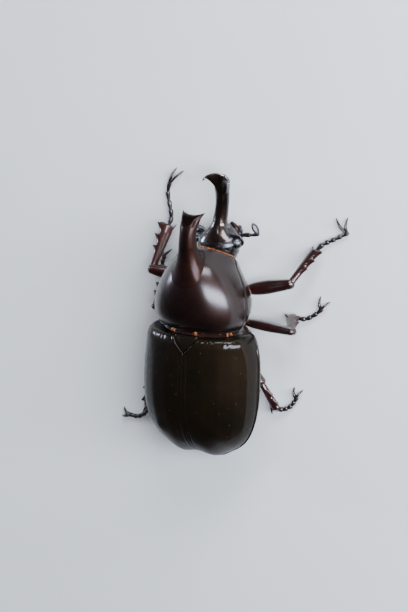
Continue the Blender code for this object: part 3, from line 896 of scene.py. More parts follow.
@dataclass(frozen=True)
class ForkedHorn:
    """A horn that flares out of the body and ends in two tines.

    The spine gives points of the centre line with half-width and half-depth. The
    rim runs from the notch to a tip and the edge from the shaft's side to the same
    tip, both as rows of distance from the middle, y and z.
    """

    spine: Rows
    start: float
    fork: float
    rim: tuple[Point, ...]
    edge: tuple[Point, ...]
    middle_x: float = 0.0
    rim_depth: float = 0.45
    count: int = 72
    shaft_rows: int = 60
    fork_rows: int = 44

    def ring(self, at: Array) -> tuple[Array, Array, Array, Array, Array]:
        """The shaft's frame and size.

        Args:
            at: Places on the spine, counted in its rows.

        Returns:
            Centre, side, over, tangent and half sizes at each place.
        """
        row = spline(self.spine, at)
        tangent = unit(spline(self.spine, at + 0.02)[..., :3] - spline(self.spine, at - 0.02)[..., :3])
        side = unit(np.cross(tangent, np.array([0.0, 0.0, 1.0])))
        return row[..., :3], side, np.cross(side, tangent), tangent, row[..., 3:]

    def shaft(self, at: Array) -> Array:
        """Rings of the plain shaft: centre + side a cos(u) + over b sin(u).

        Args:
            at: Places on the spine.

        Returns:
            One ring for each place.
        """
        centre, side, over, _, size = self.ring(at)
        turn = turns(self.count)[None, :, None]
        wide = side[:, None] * size[:, None, :1] * np.cos(turn)
        return centre[:, None] + wide + over[:, None] * size[:, None, 1:] * np.sin(turn)

    def fork_rings(self) -> Array:
        """Rings that open into the two tines.

        The middle sheet of the fork is a patch spanned by four lines for each half:
        the last straight rib S, the rim E, the middle line M and the edge L. With w
        from the shaft to the rim and c from the middle to the side it is
        (1 - w) S + w E + (1 - h) (M - (1 - w) S0 - w E0) + h (L - (1 - w) S1 - w E1),
        with h = c across and c^2 in height. The skin lies to both sides of the sheet
        by a depth that closes at the rim as (1 - w^6)^0.5.

        Returns:
            The rings, from the end of the shaft to the rim.
        """
        w = np.sin(np.linspace(0, math.pi / 2, self.fork_rows + 1))[1:, None, None]
        turn = turns(self.count)
        c, s = np.cos(turn), np.sin(turn)
        size, sign = np.abs(c), np.where(c > 0, -1.0, 1.0)
        centre, across, above, _, sizes = self.ring(np.array([self.fork - 0.3, self.fork]))
        (before, base), side, over, (old, half) = centre, across[1], above[1], sizes
        flip = np.stack([sign, np.ones_like(sign), np.ones_like(sign)], -1)
        middle = np.array([self.middle_x, 0.0, 0.0])
        straight = base + side * (half[0] * c)[:, None]
        rim = spline(self.rim, size * (len(self.rim) - 1)) * flip + middle
        notch, tip = np.array(self.rim[0]) + middle, np.array(self.rim[-1]) * flip + middle
        halfway = (base + notch) / 2 + over * 0.05
        line = spline([before, base, halfway, notch], 1 + 2 * w[:, 0, 0])[:, None]
        sides = []
        for mark in (-1.0, 1.0):
            outer = [np.array(p) * [mark, 1.0, 1.0] + middle for p in (*self.edge, self.rim[-1])]
            out = -side * mark
            route = [before + out * old[0], base + out * half[0], *outer]
            sides.append(spline(route, 1 + (len(route) - 2) * w[:, 0, 0]))
        edge = np.where(sign[None, :, None] < 0, sides[0][:, None], sides[1][:, None])
        share = np.stack([size, size**2, size**2], -1)
        corner = base - side * half[0] * sign[:, None]
        sheet = (1 - w) * straight + w * rim
        sheet = sheet + (1 - share) * (line - (1 - w) * base - w * notch)
        sheet = sheet + share * (edge - (1 - w) * corner - w * tip)
        depth = (half[1] * (1 - w) + self.rim_depth * w) * np.sqrt(np.clip(1 - w**6, 0.001, 1))
        return sheet + over * depth * (np.sign(s) * np.sqrt(1 - np.minimum(size, 1) ** 2.2))[:, None]

    def surface(self, root: Root, skirt: int = 36) -> Surface:
        """The whole horn.

        Between the body and the shaft each line is a cubic that leaves the body along
        its skin and meets the shaft along its own direction, so the horn grows out of
        the body with no edge.

        Args:
            root: Gives points on the body round the horn and the skin's normals there,
                for angles round the shaft.
            skirt: Rings in the flare.

        Returns:
            The closed surface.
        """
        first = self.shaft(np.array([self.start]))[0]
        way = self.ring(np.array([self.start]))[3][0]
        ground, normal = root(turns(self.count))
        span = first - ground
        length = np.linalg.norm(span, axis=1, keepdims=True)
        leave = unit(span - normal * np.sum(span * normal, axis=1, keepdims=True))
        s = np.linspace(0, 1, skirt, endpoint=False)[:, None, None]
        flare = (
            (2 * s**3 - 3 * s**2 + 1) * ground
            + (s**3 - 2 * s**2 + s) * leave * length
            + (3 * s**2 - 2 * s**3) * first
            + (s**3 - s**2) * way * length * 0.9
        )
        sunk = ground.mean(0) + (ground - ground.mean(0)) * 0.8 - normal * 1.0
        shaft = self.shaft(np.linspace(self.start, self.fork, self.shaft_rows))
        return tube(np.concatenate([sunk[None], flare, shaft, self.fork_rings()]), zip_end=True)


THORAX_HORN = ForkedHorn(
    spine=(
        (0, -11.4, 6.2, 3.1, 3.1),
        (0, -14.0, 7.2, 2.5, 2.4),
        (0, -17.0, 8.0, 2.05, 1.8),
        (0, -20.0, 8.25, 1.8, 1.5),
        (0, -22.2, 7.95, 1.9, 1.3),
        (0, -23.6, 7.45, 2.1, 0.95),
    ),
    start=2.3,
    fork=3.7,
    rim=((0.0, -24.15, 7.15), (0.95, -24.2, 7.1), (1.85, -24.4, 6.75), (2.6, -24.65, 6.0)),
    edge=((2.05, -22.9, 7.35), (2.25, -23.75, 6.95)),
)
HEAD_HORN = ForkedHorn(
    spine=(
        (0.0, -17.0, -3.6, 2.0, 1.75),
        (-0.12, -19.6, -3.9, 1.68, 1.5),
        (-0.4, -22.2, -4.1, 1.5, 1.25),
        (-0.8, -25.4, -3.75, 1.5, 1.15),
        (-1.2, -28.2, -2.6, 1.72, 1.15),
        (-1.5, -30.0, -1.5, 1.9, 1.0),
    ),
    start=1.5,
    fork=3.75,
    rim=(
        (0.0, -31.15, -0.9),
        (0.62, -31.4, -0.75),
        (1.3, -31.38, -0.45),
        (2.08, -31.1, 0.0),
        (2.88, -30.6, 0.4),
        (3.15, -30.04, 0.7),
        (2.95, -29.57, 0.8),
    ),
    edge=((1.68, -29.1, -1.75), (1.92, -29.95, -0.95), (2.3, -30.42, -0.15), (2.62, -30.2, 0.4)),
    middle_x=-1.7,
)


# Trunk


@dataclass(frozen=True)
class Pronotum:
    """The domed shield over the front of the thorax, with the ring of body under it.

    The beads are given by their distance from a margin, or by their angle from the
    top for the one along the sides.
    """

    body: LoftedBody = LoftedBody(
        (
            (-0.20, 8.1, 7.0, -2.0, 1.7, 0.00),
            (-0.55, 8.7, 7.6, -3.2, 1.6, 0.00),
            (-2.4, 9.7, 9.0, -5.6, 1.2, 0.00),
            (-5.0, 9.95, 9.7, -7.2, 0.7, 0.04),
            (-7.4, 9.45, 9.8, -7.3, 0.3, 0.12),
            (-9.6, 8.5, 9.3, -7.2, -0.1, 0.22),
            (-11.6, 7.4, 7.9, -7.1, -0.4, 0.33),
            (-13.2, 6.5, 5.8, -6.9, -0.6, 0.43),
            (-14.5, 6.0, 4.2, -6.5, -0.8, 0.50),
            (-15.1, 5.6, 2.9, -6.0, -0.9, 0.54),
        ),
        power=2.1,
        easing=0.2,
    )
    hind_bead: float = 0.62
    front_bead: float = 0.25
    side_bead: float = 91.0
    bead_height: float = 0.1
    bead_width: float = 0.13
    horn_station: float = 6.1
    horn_length: float = 2.1
    horn_turn: float = math.radians(28)
    rows: int = 170
    count: int = 288

    def rings(self) -> Array:
        """Rings from the hind margin to the front margin, with a raised bead round the shield.

        The bead is a bell of arc length from either margin, and of the angle at the
        widest line, with a shallow groove along its inner side.

        Returns:
            The rings, from the back to the front.
        """
        ease = np.linspace(0, 1, self.rows)
        stations = len(self.body.stations) - 1
        v = stations * (ease - 0.11 * np.sin(2 * math.pi * ease))
        turn = turns(self.count)
        rings = self.body.point(v[:, None], turn[None, :])
        spine = rings[:, 0]
        arc = np.concatenate([[0], np.cumsum(np.linalg.norm(np.diff(spine, axis=0), axis=1))])
        upper = np.clip((np.cos(turn) + 0.25) / 0.2, 0, 1)[None, :]
        hind, front = arc[:, None], (arc[-1] - arc)[:, None]
        w, h = self.bead_width, self.bead_height
        height = h * bump(hind, self.hind_bead, w) - 0.6 * h * bump(hind, self.hind_bead + 2.4 * w, w)
        height = height + 0.9 * h * bump(front, self.front_bead, w)
        height = height - 0.5 * h * bump(front, self.front_bead + 2.6 * w, w * 1.2)
        height = height * upper
        angle = np.degrees(np.abs(np.where(turn > math.pi, turn - 2 * math.pi, turn)))[None, :]
        side = 1.3 * bump(angle, self.side_bead, 1.3) - 0.8 * bump(angle, self.side_bead - 3.5, 1.6)
        return raised(rings, height + np.clip(np.minimum(hind, front) / 1.2, 0, 1) * h * side)

    def surface(self) -> Surface:
        """The shield and ring, hollowed at the front where the head sits and at the back.

        Returns:
            The closed surface.
        """
        rings = self.rings()

        def turned_in(ring: Array, steps: Rows) -> list[Array]:
            """Smaller copies of a ring, for steps of size and shift to the back."""
            middle = ring.mean(0)
            return [middle + (ring - middle) * size + np.array([0, back, 0]) for size, back in steps]

        hind = turned_in(rings[0], ((0.6, -1.2), (0.9, -1.0), (0.955, -0.35), (0.985, -0.05)))
        front_steps = ((0.985, 0.0), (0.96, 0.15), (0.945, 0.6), (0.93, 1.6), (0.5, 2.0))
        return tube(np.stack([*hind, *rings, *turned_in(rings[-1], front_steps)]))

    def build(self) -> None:
        """The shield, and the horn that grows out of it."""
        make_piece("pronotum_shield", self.surface(), PRONOTUM_CUTICLE, Slot.PRONOTUM, "pronotum")
        root = root_on(self.body, self.horn_station, self.horn_length, self.horn_turn)
        make_piece("thorax_horn", THORAX_HORN.surface(root), HORN_CUTICLE, Slot.HORN, "pronotum_horn")


@dataclass(frozen=True)
class WingCases:
    """The two wing cases, which meet along a straight seam down the back.

    Angles round a section are measured from the top, and those of the fine forms
    are in degrees.
    """

    half_width: float = 12.8
    widest_y: float = 11.0
    reach: float = 15.2
    roundness: float = 2.8
    flatness: float = 0.93
    base_y: float = 0.9
    shoulder_y: float = 0.4
    lobe: float = 0.85
    lobe_x: float = 3.8
    lobe_width: float = 2.2
    top_y: float = 5.0
    front_drop: float = 0.045
    apex_z: float = -2.0
    height: float = 10.6
    belly_depth: float = 6.2
    thickness: float = 0.8
    fold: float = math.radians(114)
    seam: float = 0.035
    groove_x: float = 0.92
    groove_depth: float = 0.075
    rib_angles: tuple[float, ...] = (17.0, 34.0, 52.0, 69.0)
    rib_height: float = 0.045
    shoulder_angle: float = 57.0
    shoulder_height: float = 0.55
    tip_bump: float = 0.22
    roll_depth: float = 0.55
    roll_width: float = 2.1
    wrinkle: float = 0.035
    rows: int = 190
    columns: int = 170

    def half(self, y: Array, inset: Array | float = 0.0) -> Array:
        """Half the width in plan: half (1 - |y - widest|^n / reach^n)^(1/n)."""
        across = np.clip(np.abs(y - self.widest_y) / (self.reach - inset), 0, 1)
        return (self.half_width - inset) * (1 - across**self.roundness) ** (1 / self.roundness)

    def point(self, y: Array, angle: Array, inset: Array | float) -> Array:
        """The surface at a station and an angle from the top.

        The top line falls as (1 - t^3)^0.4 towards the apex, and each section is an
        oval that starts at the seam. A small bulge of y gives each case its own
        rounded tip.

        Args:
            y: Stations along the body.
            angle: Angles round the section.
            inset: How far the surface is drawn in.

        Returns:
            Points on the left side.
        """
        half = self.half(y, inset)
        length = self.widest_y + self.reach - inset - self.top_y
        along = np.clip((y - self.top_y) / length, 0, 1)
        fall = (1 - along**3) ** 0.4
        drop = self.front_drop * np.clip(self.top_y - y, 0, None) ** 2
        top = self.apex_z + (self.height - inset) * fall - drop
        level = self.apex_z * along**6
        c, s = np.cos(angle), np.sin(angle)
        x = np.clip(half - self.seam, 0, None) * np.abs(s) ** self.flatness + self.seam
        below = (self.belly_depth - inset) * fall * np.abs(c)
        z = level + np.where(c > 0, (top - level) * np.abs(c), -below)
        tip = self.lobe * bump(x, self.lobe_x, self.lobe_width) * along**6
        return np.stack(np.broadcast_arrays(x, y + tip, z), axis=-1)

    def seam_angle(self, y: Array) -> Array:
        """The angle where a case starts, at the seam or at the edge of the shield between the bases.

        It turns x round: angle = asin(((x - seam) / (half - seam))^(1 / flatness)).

        Args:
            y: Stations along the body.

        Returns:
            The angle at each station.
        """
        t = ramp(y, SCUTELLUM.front, SCUTELLUM.back + 0.16)
        inner = (SCUTELLUM.half + 0.14) * (1 - t**1.5)
        share = np.clip(inner / np.maximum(self.half(y) - self.seam, 1e-6), 0, 1)
        return np.arcsin(share ** (1 / self.flatness))

    def relief(self, place: Array, angle: Array, from_base: Array, from_seam: Array) -> Array:
        """Height of the fine forms over the plain surface.

        A groove runs beside the seam, four flat ribs run along each case, the shoulder
        swells towards the base, a bump stands near the tip, and a bead follows the
        edge. The base stays level, and rolls down over its last stretch with fine
        wrinkles.

        Args:
            place: Points of the plain surface.
            angle: Their angles round the section.
            from_base: Their distances from the base.
            from_seam: Their distances from the seam.

        Returns:
            The heights.
        """
        x, y = place[..., 0], place[..., 1]
        degrees = np.degrees(angle)
        groove = self.groove_depth * bump(x, self.groove_x, 0.13)
        height = ramp(y, 3.5, 5.5) * (0.03 * np.clip(1 - x / 0.8, 0, 1) - groove)
        ribs = sum(bump(degrees, at, 4.5) for at in self.rib_angles)
        height = height + self.rib_height * ramp(y, 3, 7) * ramp(y, 24, 19) * ribs
        shoulder = bump(degrees, self.shoulder_angle, 24.0)
        height = height + self.shoulder_height * ramp(y, 7, 1.5) ** 2 * shoulder
        height = height + self.tip_bump * bump(x, 6.6, 1.6) * bump(y, 21.2, 1.6)
        bead = 0.16 * bump(degrees, 93.0, 1.5) - 0.1 * bump(degrees, 89.4, 1.8)
        height = height + ramp(y, 1.5, 3.5) * bead
        level_out = 0.04 * np.clip(5 - y, 0, None) ** 2 * np.clip(np.cos(angle), 0, 1)
        roll = self.roll_depth * np.clip(1 - from_base / self.roll_width, 0, 1) ** 2
        wrinkle = self.wrinkle * np.sin(5.1 * x + 1.7 * np.sin(2.3 * x)) * bump(from_base, 0.75, 0.55)
        height = height + (level_out - roll + wrinkle) * np.clip(1.2 - np.sin(angle) ** 6, 0, 1)
        return height - edge_round(from_base, 0.5) - edge_round(from_seam, 0.13)

    def surface(self) -> Surface:
        """One case, on the left side, as a closed shell with rounded edges.

        Returns:
            The closed surface.
        """
        ease = np.linspace(0, 1, self.rows - 14)
        tail = np.sin(0.03 + (math.pi / 2 - 0.03) * ease)[:, None]
        near = 0.03 * (1 - np.cos(np.linspace(0, math.pi / 2, 15)))[:-1, None]
        t = np.concatenate([near, tail])
        f = np.linspace(0, 1, self.columns)
        f = (0.25 * f + 0.75 * (f - np.sin(2 * math.pi * f) / (2 * math.pi)))[None, :]

        def grid(inset: float) -> tuple[Array, Array, Array]:
            """Base, stations and angles of a shell drawn in by inset.

            The base curves forward to the shoulder, so its y and the angle settle
            over three rounds.

            Args:
                inset: How far the shell is drawn in.

            Returns:
                The base, the stations and the angles.
            """
            base = self.base_y
            for _ in range(3):
                start = self.seam_angle(base + (self.widest_y + self.reach - inset - base) * t)
                angle = start + (self.fold - start) * f
                base = self.base_y + (self.shoulder_y - self.base_y) * np.sin(angle) ** 3
            return base, base + (self.widest_y + self.reach - inset - base) * t, angle

        base, y, angle = grid(0.0)
        plain = self.point(y, angle, 0.0)
        step = np.linalg.norm(np.diff(plain, axis=1), axis=-1)
        from_seam = np.concatenate([np.zeros((len(t), 1)), np.cumsum(step, axis=1)], axis=1)
        outer = self.point(y, angle, -self.relief(plain, angle, y - base, from_seam))
        _, y, angle = grid(self.thickness)
        inner = self.point(y, angle, self.thickness)
        return tube(np.concatenate([outer, inner[:, ::-1]], axis=1))

    def build(self) -> None:
        """Both cases, and the small shield between their bases."""
        left = self.surface()
        right = Surface(left.points * Side.RIGHT.flip, left.quads[:, ::-1], left.triangles[:, ::-1])
        for side, surface in ((Side.LEFT, left), (Side.RIGHT, right)):
            label = side.label
            make_piece(f"wing_case_{label}", surface, ELYTRA_CUTICLE, Slot.ELYTRA, f"elytron_{label}")
        make_piece("heart_shield", SCUTELLUM.surface(self), ELYTRA_CUTICLE, Slot.PRONOTUM, "scutellum")


@dataclass(frozen=True)
class Scutellum:
    """The small heart-shaped shield between the bases of the wing cases."""

    half: float = 2.6
    front: float = 0.7
    back: float = 4.0
    middle: tuple[float, float] = (0.0, 1.9)
    dome: float = 0.1
    skirt: float = 1.0

    def outline(self, count: int = 48) -> Array:
        """The outline in plan: half (1 - t^1.5) at front + (back - front) t, on both sides.

        Args:
            count: Points along a side.

        Returns:
            The closed outline as rows of x and y.
        """
        t = np.linspace(0, 1, count)
        right = np.stack([self.half * (1 - t**1.5), self.front + (self.back - self.front) * t], 1)
        across = np.linspace(-1, 1, 22)[1:-1]
        base = np.stack([self.half * across, np.full(20, self.front)], 1)
        return np.vstack([right, (right * [-1, 1])[-2::-1], base])

    def surface(self, cases: WingCases) -> Surface:
        """A plate that follows the wing cases, gently domed, with a rounded edge.

        Args:
            cases: The wing cases that it lies between.

        Returns:
            The surface, as shrinking copies of the outline over a short skirt.
        """
        ring = self.outline()
        middle = np.array(self.middle)
        shoulder = 1 - 0.1 * (1 - np.cos(np.linspace(0.2, math.pi / 2, 6)))
        sizes = np.concatenate([[1.0, 1.0], shoulder, np.linspace(0.86, 0.02, 26)])
        plan = middle + (ring - middle) * sizes[:, None, None]
        level = cases.point(plan[..., 1], np.abs(plan[..., 0]) / cases.half_width, 0.0)[..., 2]
        dome = self.dome * (1 - sizes**2) - edge_round((1 - sizes) * 2.2, 0.2)
        z = level - 0.12 + dome[:, None]
        z[0] = level[0] - self.skirt
        return tube(np.concatenate([plan, z[..., None]], axis=-1))


SCUTELLUM = Scutellum()


@dataclass(frozen=True)
class HindBody:
    """The body under the wing cases: hind thorax, belly and tail plate."""

    cases: WingCases = WingCases()
    gap: float = 0.3
    thorax_span: tuple[float, float] = (0.1, 9.35)
    belly_span: tuple[float, float] = (9.5, 23.75)
    tail_span: tuple[float, float] = (23.85, 26.0)
    keel: float = -7.7
    plates: int = 6
    first_plate: float = 11.0
    plate_length: float = 2.25

    def belly_level(self, y: Array) -> Array:
        """Level of the underside on the midline, which rises as t^2.2 towards the tail."""
        return self.keel + 5.2 * ramp(y, 15.0, 25.1) ** 2.2

    def rings(
        self, span: tuple[float, float], rows: int, ease: bool = False, count: int = 44
    ) -> tuple[Array, Array]:
        """Rings between two stations.

        The upper half lies inside the wing cases, and the lower half is
        x = edge cos(u)^0.7, z = edge + (belly - edge) sin(u).

        Args:
            span: The first and the last station.
            rows: How many rings.
            ease: Whether they crowd towards the last station.
            count: Points in a quarter of a ring.

        Returns:
            The rings, and how far each point of a ring lies on the underside.
        """
        first, last = span
        inset = self.cases.thickness + self.gap
        end = self.cases.widest_y + self.cases.reach - inset
        t = np.linspace(0, 1, rows)
        y = first + (min(last, end - 0.02) - first) * (np.sin(t * math.pi / 2) if ease else t)
        sunk = inset + 0.9 * ramp(y, 1.9, 0.1)
        angle = np.linspace(0, self.cases.fold, count)[None, :]
        upper = self.cases.point(y[:, None], angle, sunk[:, None])
        upper[:, 0, 0] = 0
        edge = upper[:, -1]
        bend = np.linspace(0, math.pi / 2, count)[1:]
        x = edge[:, None, 0] * np.cos(bend) ** 0.7
        belly = np.minimum(self.belly_level(y), edge[:, 2] - 0.05)[:, None]
        z = edge[:, None, 2] + (belly - edge[:, None, 2]) * np.sin(bend)
        x[:, -1] = 0
        lower = np.stack([x, np.broadcast_to(y[:, None], x.shape), z], -1)
        half = np.concatenate([upper, lower], axis=1)
        other = half[:, 1:-1][:, ::-1] * [-1, 1, 1]
        under = np.concatenate([np.zeros(count), np.minimum(bend / 0.5, 1)])
        under = np.concatenate([under, under[1:-1][::-1]])
        return np.concatenate([half, other], axis=1), under

    def thorax(self) -> Surface:
        """The hind thorax, with a groove along the middle of its underside and a seam across it.

        Returns:
            The closed surface.
        """
        rings, under = self.rings(self.thorax_span, 90)
        x, y = rings[..., 0], rings[..., 1]
        groove = -0.14 * bump(x, 0, 0.3) * ramp(y, 3, 5)
        seam = -0.16 * bump(y, 4.2 + 0.15 * np.abs(x), 0.14)
        return tube(raised(rings, under[None, :] * (groove + seam)))

    def belly(self) -> Surface:
        """The belly, with a groove behind each of its plates.

        Returns:
            The closed surface.
        """
        rings, under = self.rings(self.belly_span, 150)
        y = rings[..., 1]
        height = np.zeros(y.shape)
        for k in range(self.plates):
            line = self.first_plate + self.plate_length * k
            height += 0.08 * bump(y, line - 0.55, 0.4) - 0.17 * bump(y, line, 0.13)
        return tube(raised(rings, under[None, :] * height))

    def build(self) -> None:
        """The three lengths of the hind body."""
        tail = tube(self.rings(self.tail_span, 40, ease=True)[0])
        make_piece("hind_thorax", self.thorax(), BELLY_CUTICLE, Slot.UNDERSIDE, "pterothorax")
        make_piece("belly_plates", self.belly(), BELLY_CUTICLE, Slot.UNDERSIDE, "abdomen")
        make_piece("tail_plate", tail, BELLY_CUTICLE, Slot.UNDERSIDE, "pygidium")


# Head


@dataclass(frozen=True)
class Head:
    """The head capsule with its horn, eyes, brows and mouthparts.

    The lines of the paired pieces are those of the left side. The jaw's rows also
    hold its half-width and half-depth.
    """

    body: LoftedBody = LoftedBody(
        (
            (-12.6, 2.6, -2.6, -6.6, -4.6, 0.0),
            (-13.4, 3.7, -1.7, -7.3, -4.6, 0.0),
            (-15.0, 4.35, -1.2, -7.7, -4.5, 0.0),
            (-16.6, 4.6, -1.3, -7.8, -4.4, 0.0),
            (-17.8, 4.2, -1.9, -7.6, -4.6, 0.0),
            (-18.9, 3.3, -3.0, -7.1, -5.0, 0.0),
            (-19.7, 2.3, -4.3, -6.6, -5.3, 0.0),
        ),
        power=2.1,
    )
    horn_station: float = 4.2
    horn_length: float = 1.5
    horn_turn: float = math.radians(52)
    horn_sink: float = 1.5
    eye_axes: Point = (1.25, 1.25, 1.2)
    brow_line: Rows = (
        (2.9, -18.2, -3.4),
        (4.2, -18.35, -3.7),
        (5.25, -17.9, -3.95),
        (5.62, -17.2, -4.1),
        (5.5, -16.5, -4.2),
    )
    jaw_line: Rows = (
        (1.7, -16.6, -6.9, 1.0, 0.75),
        (2.1, -18.1, -7.15, 0.95, 0.7),
        (2.0, -19.3, -7.0, 0.75, 0.55),
        (1.4, -20.1, -6.8, 0.4, 0.3),
    )
    palp_line: Rows = (
        (1.6, -15.6, -7.0),
        (2.6, -16.8, -8.1),
        (2.9, -17.9, -8.3),
        (2.7, -18.9, -8.1),
        (2.55, -19.4, -8.0),
    )
    palp_sizes: tuple[float, ...] = (0.42, 0.36, 0.38, 0.46)
    scape_line: Rows = ((3.0, -17.6, -6.0), (4.9, -18.3, -5.8), (6.5, -18.62, -5.28))
    bead_line: Rows = ((6.55, -18.65, -5.25), (7.7, -18.9, -4.95), (8.7, -19.25, -4.65))
    club_line: Rows = ((8.8, -19.2, -4.6), (7.85, -21.5, -4.05))
    club_stack: Point = (0.86, 0.04, 0.51)

    def capsule(self) -> Surface:
        """The capsule with a rounded front and an uneven, pitted skin.

        The lumps are products of sines of x and y, and fade out round the horn's root.

        Returns:
            The closed surface.
        """
        v = np.linspace(0, 6, 110)
        turn = turns(160)
        rings = self.body.point(v[:, None], turn[None, :])
        x, y = rings[..., 0], rings[..., 1]
        lumps = 0.05 * np.sin(2.9 * x + 1.3 * np.sin(2.1 * y)) * np.sin(3.7 * y + 0.8 * np.sin(2.3 * x))
        off = np.where(turn > math.pi, turn - 2 * math.pi, turn)[None, :]
        from_root = np.hypot((v[:, None] - self.horn_station) / self.horn_length, off / self.horn_turn)
        front = bump(y, -18.7, 0.35) * np.clip(np.cos(turn), 0, 1)[None, :]
        rings = raised(rings, lumps * ramp(from_root, 1.0, 1.5) + 0.12 * front)
        last = rings[-1]
        middle = last.mean(0)
        close = [
            middle + (last - middle) * math.cos(k) + np.array([0, -0.7 * math.sin(k), 0])
            for k in np.linspace(0, math.pi / 2, 9)[1:-1]
        ]
        return tube(np.concatenate([rings, np.stack(close)]))

    def eye(self, side: Side) -> Surface:
        """One eye, a globe a little flattened from top to bottom."""
        return ellipsoid(np.array(EYE_CENTRE) * side.flip, np.diag(self.eye_axes), 36, 56)

    def brow(self, side: Side) -> Surface:
        """The ridge of cuticle that crosses the front half of the eye.

        Args:
            side: The side of the head.

        Returns:
            A flat rod that thins towards the temple.
        """
        path = spline(self.brow_line, np.linspace(0, 4, 34)) * side.flip
        size = np.interp(np.linspace(0, 1, 34), [0, 0.35, 0.8, 1], [0.55, 0.5, 0.34, 0.14])
        return limb(path, pair(size, 0.5), 20)

    def jaw(self, side: Side) -> Surface:
        """One mandible, a curved blade with a blunt tip."""
        row = spline(self.jaw_line, np.linspace(0, 3, 40))
        return limb(row[:, :3] * side.flip, row[:, 3:], 28, start=False)

    def palp(self, side: Side) -> Surface:
        """One palp of four swollen joints.

        Args:
            side: The side of the head.

        Returns:
            The joints, each as size sin(u)^0.6 along its stretch of the line.
        """
        joints = []
        for k, size in enumerate(self.palp_sizes):
            line = spline(self.palp_line, k + np.linspace(0, 1.05, 16)) * side.flip
            swell = size * np.sin(np.linspace(0.35, 2.75, 16)) ** 0.6
            joints.append(limb(line, pair(swell), 14, steps=4))
        return joined(joints)

    def feeler(self, side: Side) -> Surface:
        """One feeler: a long first joint, six beads, and a club of three leaves side by side.

        Args:
            side: The side of the head.

        Returns:
            All its joints as one surface.
        """
        flip = side.flip
        scape = spline(self.scape_line, np.linspace(0, 2, 26)) * flip
        swell = np.interp(np.linspace(0, 1, 26), [0, 0.25, 0.7, 0.9, 1], [0.3, 0.34, 0.5, 0.52, 0.4])
        parts = [limb(scape, pair(swell), 18, steps=5)]
        for k, centre in enumerate(spline(self.bead_line, np.linspace(0, 2, 6)) * flip):
            size = 0.3 + 0.03 * k
            parts.append(ellipsoid(centre, np.diag([size * 0.95, size, size]), 8, 14))
        root, tip = np.array(self.club_line) * flip
        stack = unit(self.club_stack * flip)
        way = tip - root
        broad = unit(np.cross(way, stack))
        for k in (-1, 0, 1):
            middle = root + way * 0.5 + stack * 0.28 * k
            leaf = np.stack([way * 0.5 * (1.0 - 0.05 * abs(k)), broad * 0.6, stack * 0.17])
            parts.append(ellipsoid(middle, leaf, 22, 22))
        return joined(parts)

    def build(self) -> None:
        """Capsule and horn, then the pieces of each side."""
        make_piece("head_capsule", self.capsule(), HEAD_CUTICLE, Slot.HORN, "head")
        root = root_on(self.body, self.horn_station, self.horn_length, self.horn_turn, self.horn_sink)
        make_piece("forked_head_horn", HEAD_HORN.surface(root), HEAD_HORN_CUTICLE, Slot.HORN, "head_horn")
        for side in Side:
            for name, surface, finish, slot, *node in (
                ("eye_globe", self.eye(side), EYE_CUTICLE, Slot.EYE, "eye"),
                ("brow_ridge", self.brow(side), HEAD_CUTICLE, Slot.HORN),
                ("jaw", self.jaw(side), HORN_CUTICLE, Slot.HORN, "mandible"),
                ("mouth_palp", self.palp(side), FEELER_CUTICLE, Slot.FEELER, "palp"),
                ("feeler", self.feeler(side), FEELER_CUTICLE, Slot.FEELER, "antenna"),
            ):
                nodes = [f"{part}_{side.label}" for part in node]
                make_piece(f"{name}_{side.label}", surface, finish, slot, *nodes)


# Legs


